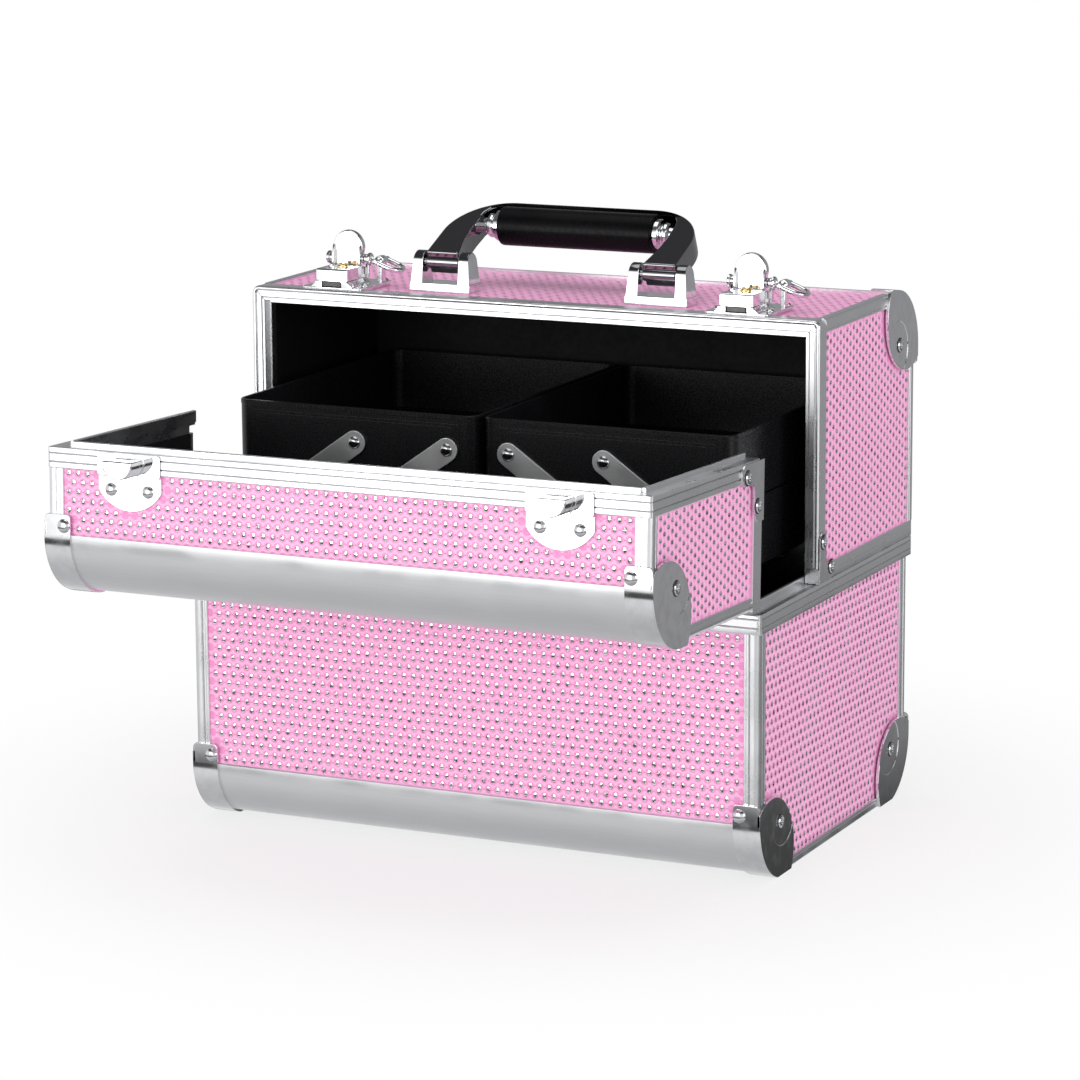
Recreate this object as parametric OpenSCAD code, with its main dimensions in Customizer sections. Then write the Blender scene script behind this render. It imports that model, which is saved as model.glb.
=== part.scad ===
// Aluminium-framed beauty case: a lower body, a lid hinged at the rear, a flap hinged at
// the front and four trays on swinging arms. Millimetres, +Z up, front towards -Y.
// Origin: centre of the footprint on the surface that the case stands on.

/* [Case] */
// Width over the aluminium rims
case_w = 313; // [290:1:340]
// Depth over the aluminium rims
case_d = 207; // [200:1:215]
// Height of the closed case, without its handle
case_h = 266; // [258:1:280]
// Height of the seam between lower body and lid
part_z = 135.5; // [130:0.5:140]
// Depth of the lid, from the rear face to its opening
lid_d = 133.5; // [128:0.5:138]
// How far the lower body stands in from its rim
body_inset = 2; // [1:0.5:3]
// Outer radius of the curved edges
round_r = 31; // [28:0.5:34]
// Wall of the curved edge profiles
curve_t = 3.5; // [3:0.5:4]

/* [Frame profiles] */
// Width of a post on the front face
post_w = 8; // [7:0.5:9]
// Width of a post on the side face
post_d = 10; // [9:0.5:12]
// Height of the lower body's rim
rim_h = 10; // [8:0.5:12]
// Width of the lower body's rim, seen from above
rim_t = 9.5; // [9:0.5:10]
// Height of the tongue that centres lid and flap
tongue_h = 3.5; // [2.5:0.5:4]
// Thickness of the tongue
tongue_t = 2.2; // [1.8:0.1:2.4]
// Corner radius of the rims
rim_r = 3; // [2:0.5:4]
// Depth of the lid's opening frame
frame_d = 9; // [8:0.5:10]
// Width of the lid's opening frame
frame_w = 7; // [6.5:0.5:7.5]
// Gap along the mitres and seams
seam = 0.3; // [0.2:0.1:0.5]

/* [Panels] */
// Thickness of a panel
panel_t = 4; // [3.5:0.5:4.5]
// How far a panel lies behind its frame
panel_inset = 1.3; // [1:0.1:1.5]
// Thickness of the lining
lining_t = 1.5; // [1:0.25:1.5]

/* [Flap] */
// Angle that the flap stands open, from closed
flap_open = 88; // [0:1:90]
// Width of the rails round the flap's side panels
flap_band = 10; // [9:0.5:11]
// Thickness of the flap's side frames
flap_side_t = 8.5; // [7:0.5:9]

/* [Trays] */
// Width of a tray
tray_w = 133.8; // [120:0.2:134]
// Length of a tray
tray_l = 174; // [160:1:174]
// Height of a tray
tray_h = 34.6; // [30:0.2:35]
// Gap between the left and the right trays
tray_gap = 2.8; // [2:0.2:5]
// Underside of the lower trays
tray_z = 147.8; // [145:0.2:150]
// Wall of a tray
tray_wall = 1.8; // [1.5:0.1:2.5]

/* [Tray arms] */
// Width of an arm
arm_w = 12; // [10:0.5:13]
// Thickness of an arm
arm_t = 1.4; // [1.2:0.1:1.6]
// Slope of the arms at rest
arm_slope = 35; // [33:1:37]
// Distance between the two arms of a side
arm_pitch = 51; // [48:1:53]
// Distance from the middle of the case to the inner arms' upper pivots
arm_x = 16.8; // [14:0.2:18]
// Diameter of the arm pivots
pivot_d = 4; // [3:0.5:5]

/* [Handle] */
// Distance from the middle of the case to each handle bracket
bracket_x = 60; // [56:1:64]
// Angle that the handle leans back from upright
handle_lean = 66; // [50:1:70]
// Distance from the pivot rods to the grip's axis
grip_u = 37.5; // [35:0.5:40]
// Diameter of the grip
grip_d = 20; // [18:0.5:21]
// Length of the grip
grip_l = 86; // [80:1:90]

/* [Latches] */
// Distance from the middle of the case to each latch
latch_x = 111.5; // [108:0.5:114]
// Width of a latch plate and of its keeper
latch_w = 34; // [30:1:36]
// Width of a latch block
block_w = 18; // [16:1:20]

/* [Hidden] */
$fn = 64;
hw = case_w / 2;
hd = case_d / 2;
bw = hw - body_inset;
bd = hd - body_inset;
rim_z = part_z - rim_h;
lid_y = hd - lid_d;
lid_z = part_z + seam;
sill_in = round_r - curve_t;
skin = panel_inset + panel_t;
side_x = bw - skin;
floor_z = skin;
rail_k = 5;
lid_rail_k = 7;
lid_in_x = hw - skin;
lid_rim_h = 8;
rivet_h = 1.6;
rivet_d = 6.5;
plate_t = 1.2;
panel_top = case_h - panel_inset;
alu = [0.80, 0.81, 0.83];
satin = [0.70, 0.71, 0.73];
chrome = [0.90, 0.90, 0.92];
pink = [0.93, 0.55, 0.76];
black = [0.06, 0.06, 0.06];
steel = [0.72, 0.73, 0.74];
brass = [0.82, 0.64, 0.30];

// Hinges. Each pin lies just outside the rim that carries it.
hinge_r = 1.8;
hinge_pin_r = 0.9;
hinge_l = 50;
hinge_x = 78;
flap_y = -hd - 2.2;
flap_z = part_z + 1.2;
flap_rim_y = lid_y - 0.6;
flap_in_x = hw - flap_side_t;
flap_tongue = 2;
lid_hinge_y = hd + 2.1;
lid_hinge_z = part_z + seam / 2;

// Trays and arms. The arms lean inwards; their pivots lie on one straight line.
tray_x = tray_gap / 2 + tray_w / 2;
tray_y = tray_l / 2;
tray_r = 7;
upper_z = tray_z + tray_h + 0.4;
pivot_up_z = upper_z + tray_h / 2;
pivot_lo_z = tray_z + tray_h / 2;
pivot_case_z = 150.5;
lower_dx = (pivot_up_z - pivot_lo_z) / tan(arm_slope);
case_dx = (pivot_lo_z - pivot_case_z) / tan(arm_slope);
case_in_x = arm_x + lower_dx + case_dx;
case_out_x = case_in_x + arm_pitch;
arm_y = tray_y + 0.4;
carrier_t = 1.5;
carrier_y = arm_y + arm_t + 0.4;
lining_y = bd - skin - lining_t;
pivot_clear = 0.06;

// Handle and latches. The rods' and axles' heights follow the lid's top.
rod_y = -0.7;
rod_z = case_h + 13.5;
rod_r = 1.8;
bow_t = 2.6;
bow_top = grip_u + grip_d / 2 + 0.4;
neck_w = 18;
bow_x = bracket_x + neck_w / 2;
shoulder_r = 30;
shoulder_x = bow_x - shoulder_r;
shoulder_u = bow_top + bow_t - shoulder_r;
latch_y = lid_y + 2;
block_z = case_h + 4.2;
block_top = case_h + 10.4;
block_d = 22.5;
lock_y = latch_y + 13;
lever_y = latch_y + block_d - 1.2;
lever_z = case_h + 13.6;
axle_r = 1.5;
slot_w = 14.6;
bolt_w = 10;
ring_y = 0;
ring_z = case_h + 12;
ring_w = 15;
ring_l = 14;
ring_wire = 1.4;
ring_bar = ring_wire + 0.2;
ring_drop = 20;
ring_left_x = -latch_x + latch_w / 2 - 2.5;
ring_right_x = latch_x + latch_w / 2 - 2.5;

// ---------- shared shapes ----------

// Extrudes a Y-Z outline along X.
module along_x(x0, x1) {
    translate([x0, 0, 0]) rotate([90, 0, 90]) linear_extrude(x1 - x0) children();
}

// Extrudes an X-Z outline along Y.
module along_y(y0, y1) {
    translate([0, y1, 0]) rotate([90, 0, 0]) linear_extrude(y1 - y0) children();
}

// Extrudes an X-Y outline along Z.
module along_z(z0, z1) {
    translate([0, 0, z0]) linear_extrude(z1 - z0) children();
}

// A block given by its lowest and highest corners.
module block(a, b) {
    translate(a) cube(b - a);
}

module left_and_right() {
    children();
    mirror([1, 0, 0]) children();
}

module front_and_rear() {
    children();
    mirror([0, 1, 0]) children();
}

// Y-Z rectangle, k inside its nominal size, with curved edges at the corners listed.
module outline(y0, y1, z0, z1, corners, k) {
    difference() {
        translate([y0 + k, z0 + k]) square([y1 - y0 - 2 * k, z1 - z0 - 2 * k]);
        for (c = corners)
            translate([c[0] < 0 ? y0 + round_r : y1 - round_r, c[1] < 0 ? z0 + round_r : z1 - round_r])
                difference() {
                    translate([c[0] < 0 ? -2 * round_r : 0, c[1] < 0 ? -2 * round_r : 0])
                        square(2 * round_r);
                    circle(round_r - k);
                }
    }
}

module lower_outline(k) {
    outline(-bd, bd, 0, case_h, [[-1, -1], [1, -1]], k);
}

module lid_outline(k) {
    outline(lid_y, hd, lid_z, case_h, [[1, 1]], k);
}

module flap_outline(k) {
    outline(-hd, flap_rim_y, lid_z, case_h, [[-1, 1]], k);
}

// Quarter ring about a curved edge's centre; sy and sz point to its corner.
module quarter_ring(y, z, sy, sz, r1, r0) {
    translate([y, z]) intersection() {
        difference() {
            circle(r1);
            circle(r0);
        }
        translate([sy < 0 ? -2 * r1 : 0, sz < 0 ? -2 * r1 : 0]) square(2 * r1);
    }
}

// X-Y rectangle with round corners.
module round_rect(hx, hy, r) {
    square([2 * (hx - r), 2 * hy], center = true);
    square([2 * hx, 2 * (hy - r)], center = true);
    for (sx = [-1, 1], sy = [-1, 1]) translate([sx * (hx - r), sy * (hy - r)]) circle(r);
}

// Domed rivet head standing on the X-Y plane.
module rivet(d = rivet_d, h = rivet_h) {
    cap_r = (d * d / 4 + h * h) / (2 * h);
    intersection() {
        translate([0, 0, h - cap_r]) sphere(cap_r);
        cylinder(r = d, h = h);
    }
}

// Rivet head at a place, facing along X, Y or Z by the sign of n.
module rivet_x(p, s = 1) {
    translate(p) rotate([0, s * 90, 0]) rivet();
}

module rivet_y(p, s = 1) {
    translate(p) rotate([-s * 90, 0, 0]) rivet();
}

// Cast corner for a curved edge: a strap over the curve and a cheek on the side face.
// It is drawn for the front lower right corner, whose outer faces are at x and -y.
module corner_casting(x, y, clip) {
    strap_w = 14;
    strap_top = 41;
    cheek_r = 28.5;
    intersection() {
        union() {
            along_x(x - strap_w + plate_t, x + plate_t) {
                quarter_ring(-y + round_r, round_r, -1, -1, round_r + plate_t, round_r);
                translate([-y - plate_t, round_r - 0.5]) square([plate_t, strap_top - round_r + 0.5]);
            }
            along_x(x, x + plate_t) intersection() {
                outline(-y - plate_t, y, -plate_t, case_h, [], 0);
                translate([-y + round_r, round_r]) difference() {
                    translate([-round_r - plate_t, -round_r - plate_t]) square(3 * round_r);
                    difference() {
                        translate([-2 * round_r, -2 * round_r]) square(2 * round_r);
                        circle(round_r + plate_t);
                    }
                }
                translate([-y + 14.5, 13]) circle(cheek_r);
            }
        }
        block([-case_w, -case_d, clip], [case_w, case_d, case_h]);
    }
}

module casting_rivets(x, y) {
    rivet_x([x + plate_t, -y + 25.5, 27.5]);
    rivet_y([x - 9.5, -y - plate_t, 35.5], -1);
}

// ---------- lower body ----------

module lower_face_panels() {
    color(pink) front_and_rear() block([-side_x - 0.3, bd - panel_inset - panel_t, round_r],
                                       [side_x + 0.3, bd - panel_inset, rim_z]);
}

module lower_side_panels() {
    color(pink) left_and_right() along_x(side_x, side_x + panel_t) union() {
        intersection() {
            lower_outline(rail_k);
            translate([-bd, 0]) square([2 * bd, round_r]);
        }
        translate([-bd + 7, round_r - 0.5]) square([2 * bd - 14, rim_z - round_r + 0.5]);
    }
}

module lower_floor() {
    color(black) block([-side_x, -bd + round_r, 0], [side_x, bd - round_r, floor_z]);
}

// Corner posts with a slot for the panel of each face.
module lower_posts() {
    color(alu) left_and_right() front_and_rear() along_z(round_r, rim_z) difference() {
        translate([bw - post_w + 0.01, bd - post_d]) intersection() {
            square([post_w, post_d]);
            union() {
                square([post_w - rim_r, post_d]);
                square([post_w, post_d - rim_r]);
                translate([post_w - rim_r, post_d - rim_r]) circle(rim_r);
            }
        }
        translate([bw - post_w - 1, bd - post_d - 1]) square([side_x - bw + post_w + 1, post_d - 5.3 + 1]);
        translate([bw - post_w - 1, bd - 5.3]) square([side_x + 0.3 - bw + post_w + 1, panel_t]);
        translate([side_x, bd - post_d - 1]) square([panel_t, post_d - 7 + 1]);
    }
}

// Four mitred bars; the inner strip stands up as the tongue.
module lower_rim() {
    reach = 60;
    color(alu) for (side = [0, 1, 2, 3]) intersection() {
        union() {
            along_z(rim_z, part_z) difference() {
                round_rect(hw, hd, rim_r);
                square([2 * (hw - rim_t), 2 * (hd - rim_t)], center = true);
            }
            along_z(rim_z, part_z + tongue_h) difference() {
                square([2 * (hw - rim_t + tongue_t), 2 * (hd - rim_t + tongue_t)], center = true);
                square([2 * (hw - rim_t), 2 * (hd - rim_t)], center = true);
            }
        }
        along_z(rim_z - 1, part_z + tongue_h + 1) rotate(side > 1 ? 180 : 0)
            if (side % 2 == 0)
                translate([0, -seam / 2]) polygon([[-hw, -hd], [hw, -hd], [hw - reach, reach - hd],
                                                   [reach - hw, reach - hd]]);
            else
                translate([-seam / 2, 0]) polygon([[-hw, -hd], [reach - hw, reach - hd],
                                                   [reach - hw, hd - reach], [-hw, hd]]);
    }
}

// Curved profiles at front and rear, and rails that follow both sides' lower edges.
module lower_bottom_rails() {
    color(satin) front_and_rear() along_x(-side_x, side_x)
        quarter_ring(-bd + round_r, round_r, -1, -1, round_r, sill_in);
    color(alu) left_and_right() along_x(side_x, bw) intersection() {
        difference() {
            lower_outline(0);
            lower_outline(rail_k);
        }
        translate([-bd, 0]) square([2 * bd, round_r]);
    }
}

module lower_corner_castings() {
    color(chrome) left_and_right() front_and_rear() corner_casting(bw, bd, 0);
}

module lower_rivets() {
    color(steel) left_and_right() front_and_rear() casting_rivets(bw, bd);
}

// Open tub of black lining.
module lower_lining() {
    color(black) difference() {
        along_x(-side_x, side_x) intersection() {
            lower_outline(skin);
            translate([-bd, 0]) square([2 * bd, rim_z]);
        }
        along_x(-side_x + lining_t, side_x - lining_t) lower_outline(skin + lining_t);
    }
}

// Plates inside the front and rear walls, with bores for the tray arms' lower pins.
module tray_carriers() {
    plate_x0 = case_in_x - 9;
    plate_x1 = case_out_x + 6.5;
    color(steel) left_and_right() front_and_rear() {
        along_y(carrier_y, carrier_y + carrier_t) difference() {
            translate([plate_x0, 108]) square([plate_x1 - plate_x0, pivot_case_z + 6 - 108]);
            translate([plate_x0 + 18, 130]) square([plate_x1 - plate_x0 - 34, 30]);
            for (x = [case_in_x, case_out_x])
                translate([x, pivot_case_z]) circle(pivot_d / 2 + pivot_clear);
        }
        for (x = [plate_x0 + 2, plate_x1 - 16])
            block([x, carrier_y + carrier_t, 110], [x + 14, lining_y, 124]);
    }
}

// ---------- hinges ----------

// Knuckles of one leaf along X from x0, every second fifth of the hinge's length.
module knuckles(x0, y, z, first, r, bore) {
    pitch = hinge_l / 5;
    for (i = [first : 2 : 4])
        translate([x0 + i * pitch + 0.15, y, z]) rotate([0, 90, 0]) difference() {
            cylinder(r = r, h = pitch - 0.3);
            translate([0, 0, -1]) cylinder(r = bore, h = pitch + 2);
        }
}

// Fixed leaves with their pins, on the front face of the rim.
module flap_hinge_leaves_fixed() {
    color(steel) for (x = [-hinge_x, hinge_x]) {
        block([x - hinge_l / 2, -hd - 1, rim_z + 0.8], [x + hinge_l / 2, -hd, part_z - 1.2]);
        difference() {
            union() {
                knuckles(x - hinge_l / 2, flap_y, flap_z, 0, hinge_r, 0.1);
                for (i = [0 : 2 : 4])
                    block([x - hinge_l / 2 + i * hinge_l / 5 + 0.15, flap_y - hinge_r + 0.2, part_z - 3],
                          [x - hinge_l / 2 + (i + 1) * hinge_l / 5 - 0.15, -hd - 0.2, flap_z - 0.6]);
            }
            along_x(x - hinge_l, x + hinge_l) translate([-hd - 0.2, part_z - 1]) square(5);
        }
        translate([x - hinge_l / 2 + 0.2, flap_y, flap_z]) rotate([0, 90, 0])
            cylinder(r = hinge_pin_r, h = hinge_l - 0.4);
    }
}

// Moving leaves, drawn closed, on the front face of the flap's lower rail.
module flap_hinge_leaves_moving() {
    color(steel) flap_pose() for (x = [-hinge_x, hinge_x]) {
        block([x - hinge_l / 2, -hd - 1, flap_z + 2.6], [x + hinge_l / 2, -hd, lid_z + flap_band - 0.8]);
        knuckles(x - hinge_l / 2, flap_y, flap_z, 1, hinge_r, hinge_pin_r + pivot_clear);
        for (i = [1, 3])
            block([x - hinge_l / 2 + i * hinge_l / 5 + 0.15, flap_y + 0.2, flap_z + hinge_pin_r + 0.4],
                  [x - hinge_l / 2 + (i + 1) * hinge_l / 5 - 0.15, -hd - 0.2, flap_z + 2.8]);
    }
}

module lid_hinge_leaves_fixed() {
    color(steel) for (x = [-hinge_x, hinge_x]) {
        block([x - hinge_l / 2, hd, rim_z + 0.8], [x + hinge_l / 2, hd + 1, lid_hinge_z - 2.4]);
        knuckles(x - hinge_l / 2, lid_hinge_y, lid_hinge_z, 0, hinge_r, 0.1);
        for (i = [0 : 2 : 4])
            block([x - hinge_l / 2 + i * hinge_l / 5 + 0.15, hd + 0.2, lid_hinge_z - 2.6],
                  [x - hinge_l / 2 + (i + 1) * hinge_l / 5 - 0.15, lid_hinge_y, lid_hinge_z - 1.3]);
        translate([x - hinge_l / 2 + 0.2, lid_hinge_y, lid_hinge_z]) rotate([0, 90, 0])
            cylinder(r = hinge_pin_r, h = hinge_l - 0.4);
    }
}

module lid_hinge_leaves_moving() {
    color(steel) for (x = [-hinge_x, hinge_x]) {
        block([x - hinge_l / 2, hd, lid_hinge_z + 2.4], [x + hinge_l / 2, hd + 1, lid_z + lid_rim_h - 0.6]);
        knuckles(x - hinge_l / 2, lid_hinge_y, lid_hinge_z, 1, hinge_r, hinge_pin_r + pivot_clear);
        for (i = [1, 3])
            block([x - hinge_l / 2 + i * hinge_l / 5 + 0.15, hd + 0.2, lid_hinge_z + 1.3],
                  [x - hinge_l / 2 + (i + 1) * hinge_l / 5 - 0.15, lid_hinge_y, lid_hinge_z + 2.6]);
    }
}

// ---------- lid ----------

module lid_face_panels() {
    color(pink) {
        block([-lid_in_x, lid_y + frame_d, panel_top - panel_t], [lid_in_x, hd - round_r, panel_top]);
        block([-lid_in_x, hd - panel_inset - panel_t, lid_z + lid_rim_h],
              [lid_in_x, hd - panel_inset, case_h - round_r]);
    }
}

module lid_side_panels() {
    color(pink) left_and_right() along_x(lid_in_x, lid_in_x + panel_t) intersection() {
        lid_outline(lid_rail_k);
        translate([lid_y + frame_d, lid_z + lid_rim_h]) square(case_d);
    }
}

// Mitred frame round the lid's opening.
module lid_front_frame() {
    reach = 40;
    color(alu) for (side = [-1, 0, 1]) intersection() {
        along_y(lid_y, lid_y + frame_d) difference() {
            translate([-hw, lid_z]) square([case_w, case_h - lid_z]);
            translate([frame_w - hw, 0]) square([case_w - 2 * frame_w, case_h - frame_w]);
        }
        along_y(lid_y - 1, lid_y + frame_d + 1)
            if (side == 0)
                translate([0, seam / 2]) polygon([[-hw, case_h], [hw, case_h], [hw - reach, case_h - reach],
                                                  [reach - hw, case_h - reach]]);
            else
                scale([side, 1]) translate([seam / 2, 0])
                    polygon([[hw, case_h], [hw, 0], [hw - reach, 0], [hw - reach, case_h - reach]]);
    }
}

// Strips inside the frame, set back from its front; the flap's tongues end before them.
module lid_frame_step() {
    step = 2;
    step_y = lid_y + 4;
    leg_x = hw - frame_w - step;
    color(alu) {
        left_and_right() block([leg_x, step_y, part_z + tongue_h + 0.5],
                               [hw - frame_w, lid_y + frame_d, case_h - frame_w]);
        block([seam - leg_x, step_y, case_h - frame_w - step],
              [leg_x - seam, lid_y + frame_d, case_h - frame_w]);
    }
}

// Bars that stand on the lower rim at the left, the rear and the right.
module lid_bottom_rim() {
    reach = 60;
    color(alu) intersection() {
        along_z(lid_z, lid_z + lid_rim_h) difference() {
            round_rect(hw, hd, rim_r);
            square([2 * lid_in_x, 2 * (hd - skin)], center = true);
        }
        along_z(lid_z - 1, lid_z + lid_rim_h + 1) {
            for (s = [-1, 1]) scale([s, 1]) translate([seam / 2, 0])
                polygon([[hw, lid_y + frame_d], [hw, hd], [hw - reach, hd - reach], [hw - reach, lid_y + frame_d]]);
            translate([0, seam / 2]) polygon([[-hw, hd], [hw, hd], [hw - reach, hd - reach],
                                              [reach - hw, hd - reach]]);
        }
    }
}

// Rails along the upper side edges, round the curve and down the rear edges.
module lid_edge_rails() {
    color(alu) left_and_right() along_x(lid_in_x, hw) intersection() {
        difference() {
            lid_outline(0);
            lid_outline(lid_rail_k);
        }
        translate([lid_y + frame_d, lid_z + lid_rim_h]) square(case_d);
    }
}

module lid_rear_crown() {
    color(satin) along_x(-lid_in_x, lid_in_x)
        quarter_ring(hd - round_r, case_h - round_r, 1, 1, round_r, sill_in);
}

module lid_corner_castings() {
    color(chrome) left_and_right() translate([0, 0, case_h]) rotate([180, 0, 0])
        corner_casting(hw, hd, -10);
}

module lid_rivets() {
    color(steel) left_and_right() {
        translate([0, 0, case_h]) rotate([180, 0, 0]) casting_rivets(hw, hd);
        rivet_x([hw + 1, lid_y + 4.2, lid_z + 20.5]);
        rivet_x([hw + 1, lid_y + 14.5, lid_z + 6.5]);
    }
}

// Sheet-metal angle on each lower front corner.
module lid_corner_brackets() {
    color(steel) left_and_right() along_x(hw, hw + 1) {
        translate([lid_y, lid_z + 0.5]) square([8.4, 25]);
        translate([lid_y, lid_z + 0.5]) square([19, 9.5]);
    }
}

module lid_lining() {
    color(black) difference() {
        along_x(-lid_in_x, lid_in_x) intersection() {
            lid_outline(skin);
            translate([lid_y + frame_d, part_z + tongue_h + 1.5]) square(case_d);
        }
        along_x(lining_t - lid_in_x, lid_in_x - lining_t) {
            lid_outline(skin + lining_t);
            translate([lid_y, part_z]) square([lid_d - skin - lining_t, 30]);
        }
    }
}

// ---------- handle ----------

// Puts a shape drawn upright over the rods at the handle's rest angle.
module handle_pose() {
    translate([0, rod_y, rod_z]) rotate([-handle_lean, 0, 0]) children();
}

// Brackets: a foot with two round-topped uprights.
module handle_brackets() {
    foot_h = 4.5;
    upright_w = 7;
    depth = 14.6;
    top_r = 5.6;
    foot_in = foot_h * (depth / 2 - top_r) / (rod_z - panel_top);
    color(chrome) for (x = [-bracket_x, bracket_x]) difference() {
        union() {
            along_x(x - 17, x + 17)
                polygon([[rod_y - depth / 2, panel_top], [rod_y + depth / 2, panel_top],
                         [rod_y + depth / 2 - foot_in, panel_top + foot_h],
                         [rod_y - depth / 2 + foot_in, panel_top + foot_h]]);
            for (s = [-1, 1]) {
                x0 = x + s * (17 - upright_w / 2) - upright_w / 2;
                along_x(x0, x0 + upright_w) {
                    polygon([[rod_y - depth / 2, panel_top], [rod_y + depth / 2, panel_top],
                             [rod_y + top_r, rod_z], [rod_y - top_r, rod_z]]);
                    translate([rod_y, rod_z]) circle(top_r);
                }
            }
        }
        translate([x - 20, rod_y, rod_z]) rotate([0, 90, 0]) cylinder(r = rod_r + 0.02, h = 40);
    }
}

module handle_rods() {
    color(chrome) for (x = [-bracket_x, bracket_x])
        translate([x - 16.8, rod_y, rod_z]) rotate([0, 90, 0]) cylinder(r = rod_r, h = 33.6);
}

// Outer edge of the bow, with straight legs down to the rods.
module bow_outline() {
    for (s = [-1, 1]) scale([s, 1]) {
        intersection() {
            translate([shoulder_x, shoulder_u]) circle(shoulder_r);
            translate([shoulder_x, shoulder_u]) square(shoulder_r);
        }
        polygon([[-1, -1], [bow_x, -1], [bow_x, shoulder_u], [shoulder_x, bow_top + bow_t],
                 [-1, bow_top + bow_t]]);
    }
}

// Space inside the bow, less k on each side: the legs are broad below and run into a
// thin strip over the grip.
module bow_window(k) {
    x = bow_x - neck_w;
    for (s = [-1, 1]) scale([s, 1])
        polygon([[-1, -2], [x - k, -2], [x + 3 - k, 16], [x + 3 - k, grip_u - 1.5],
                 [x + 1 - k, grip_u + 5.5], [x - 3.5 - k, bow_top - k], [-1, bow_top - k]]);
}

// Bow with a neck round each rod.
module handle_frame() {
    bow_w = 13;
    color(chrome) handle_pose() difference() {
        union() {
            along_y(-bow_w / 2, bow_w / 2) difference() {
                bow_outline();
                bow_window(0);
            }
            for (x = [-bracket_x, bracket_x]) translate([x - neck_w / 2, 0, 0])
                rotate([0, 90, 0]) cylinder(r = 3.6, h = neck_w);
        }
        for (x = [-bracket_x, bracket_x]) translate([x - 15, 0, 0]) rotate([0, 90, 0])
            cylinder(r = rod_r + pivot_clear, h = 30);
    }
}

module handle_grip() {
    color(black) handle_pose() translate([-grip_l / 2, 0, grip_u]) rotate([0, 90, 0]) difference() {
        cylinder(d = grip_d, h = grip_l);
        translate([0, 0, -1]) cylinder(r = 4.02, h = grip_l + 2);
    }
}

// Spindle through the grip, cut where it meets the legs, with a stepped collar at each end.
module handle_collars() {
    color(chrome) handle_pose() {
        intersection() {
            translate([-80, 0, grip_u]) rotate([0, 90, 0]) cylinder(r = 4, h = 160);
            along_y(-5, 5) bow_window(0.02);
        }
        translate([0, 0, grip_u]) rotate([0, 90, 0]) for (s = [0, 1]) mirror([0, 0, s]) {
            translate([0, 0, grip_l / 2]) cylinder(r = 8, h = 3.5);
            translate([0, 0, grip_l / 2 + 3.5]) cylinder(r1 = 7, r2 = 5.5, h = 4);
        }
    }
}

// ---------- latches ----------

module at_latches() {
    for (x = [-latch_x, latch_x]) translate([x, 0, 0]) children();
}

// Base plate with two walls that carry the block over the bolt's slot.
module latch_plates() {
    plate_l = 36;
    color(chrome) at_latches() {
        along_z(case_h, case_h + plate_t) translate([0, latch_y + plate_l / 2])
            round_rect(latch_w / 2, plate_l / 2, 2);
        block([1 - latch_w / 2, lid_y + frame_d + 0.3, panel_top],
              [latch_w / 2 - 1, latch_y + plate_l - 1, case_h + 0.5]);
        for (s = [-1, 1]) scale([s, 1, 1])
            block([slot_w / 2, latch_y, case_h + 0.5], [block_w / 2 + 1.5, latch_y + block_d, block_z]);
        block([-slot_w / 2 - 1, latch_y + block_d - 3, case_h + 0.5],
              [slot_w / 2 + 1, latch_y + block_d, block_z]);
    }
}

// Block with two lugs and the axle pressed through them.
module latch_blocks() {
    lug_x = 9.3;
    lug_r = 3;
    color(chrome) at_latches() {
        difference() {
            block([-block_w / 2, latch_y + 0.8, block_z], [block_w / 2, latch_y + block_d, block_top]);
            translate([0, lock_y, block_top - 1.6]) cylinder(r = 2.9, h = 3);
            block([-block_w / 2 + 0.2 - 1, lever_y - 3.4, block_top - 0.6],
                  [block_w / 2 + 1, latch_y + block_d + 1, block_top + 1]);
        }
        for (s = [-1, 1]) scale([s, 1, 1]) along_x(lug_x, lug_x + 1.8) {
            translate([lever_y, lever_z]) circle(lug_r);
            translate([lever_y - lug_r, block_z]) square([lug_r + latch_y + block_d - lever_y, lever_z - block_z]);
        }
        for (s = [-1, 1]) scale([s, 1, 1])
            block([block_w / 2 - 0.5, lever_y - lug_r, block_z], [lug_x + 0.5, latch_y + block_d, block_z + 2]);
        translate([-lug_x - 2.6, lever_y, lever_z]) rotate([0, 90, 0])
            cylinder(r = axle_r, h = 2 * lug_x + 5.2);
    }
}

module lock_cylinders() {
    color(brass) at_latches() translate([0, lock_y, block_top - 1.6]) difference() {
        cylinder(r = 2.88, h = 2.2);
        block([-1.6, -0.35, 1.2], [1.6, 0.35, 3]);
    }
}

// Lever: a domed thumb plate on a barrel, with a rim turned back round its edge.
module latch_lever() {
    dome_r = 8.4;
    dome_z = 6.2;
    lean = 4;
    color(chrome) translate([0, lever_y, lever_z]) rotate([lean, 0, 0]) difference() {
        union() {
            rotate([0, 90, 0]) translate([0, 0, -8.8]) cylinder(r = 2.5, h = 17.6);
            difference() {
                along_y(-2.5, 2) lever_outline(dome_r, dome_z);
                along_y(-0.9, 3) lever_outline(dome_r - 1.2, dome_z);
            }
        }
        rotate([0, 90, 0]) translate([0, 0, -10]) cylinder(r = axle_r + pivot_clear, h = 20);
    }
}

module lever_outline(r, z) {
    translate([0, z]) circle(r);
    translate([-r + 0.4, 0]) square([2 * r - 0.8, z]);
}

// Bolt that slides forward out of the slot and into the keeper.
module latch_bolt() {
    color(steel) block([-bolt_w / 2, latch_y + 0.5, case_h + plate_t + 0.3],
                       [bolt_w / 2, latch_y + block_d - 3.6, block_z - 0.3]);
}

module latch_lever_left() {
    translate([-latch_x, 0, 0]) latch_lever();
}

module latch_lever_right() {
    translate([latch_x, 0, 0]) latch_lever();
}

module latch_bolt_left() {
    translate([-latch_x, 0, 0]) latch_bolt();
}

module latch_bolt_right() {
    translate([latch_x, 0, 0]) latch_bolt();
}

// ---------- shoulder strap rings ----------

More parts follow.
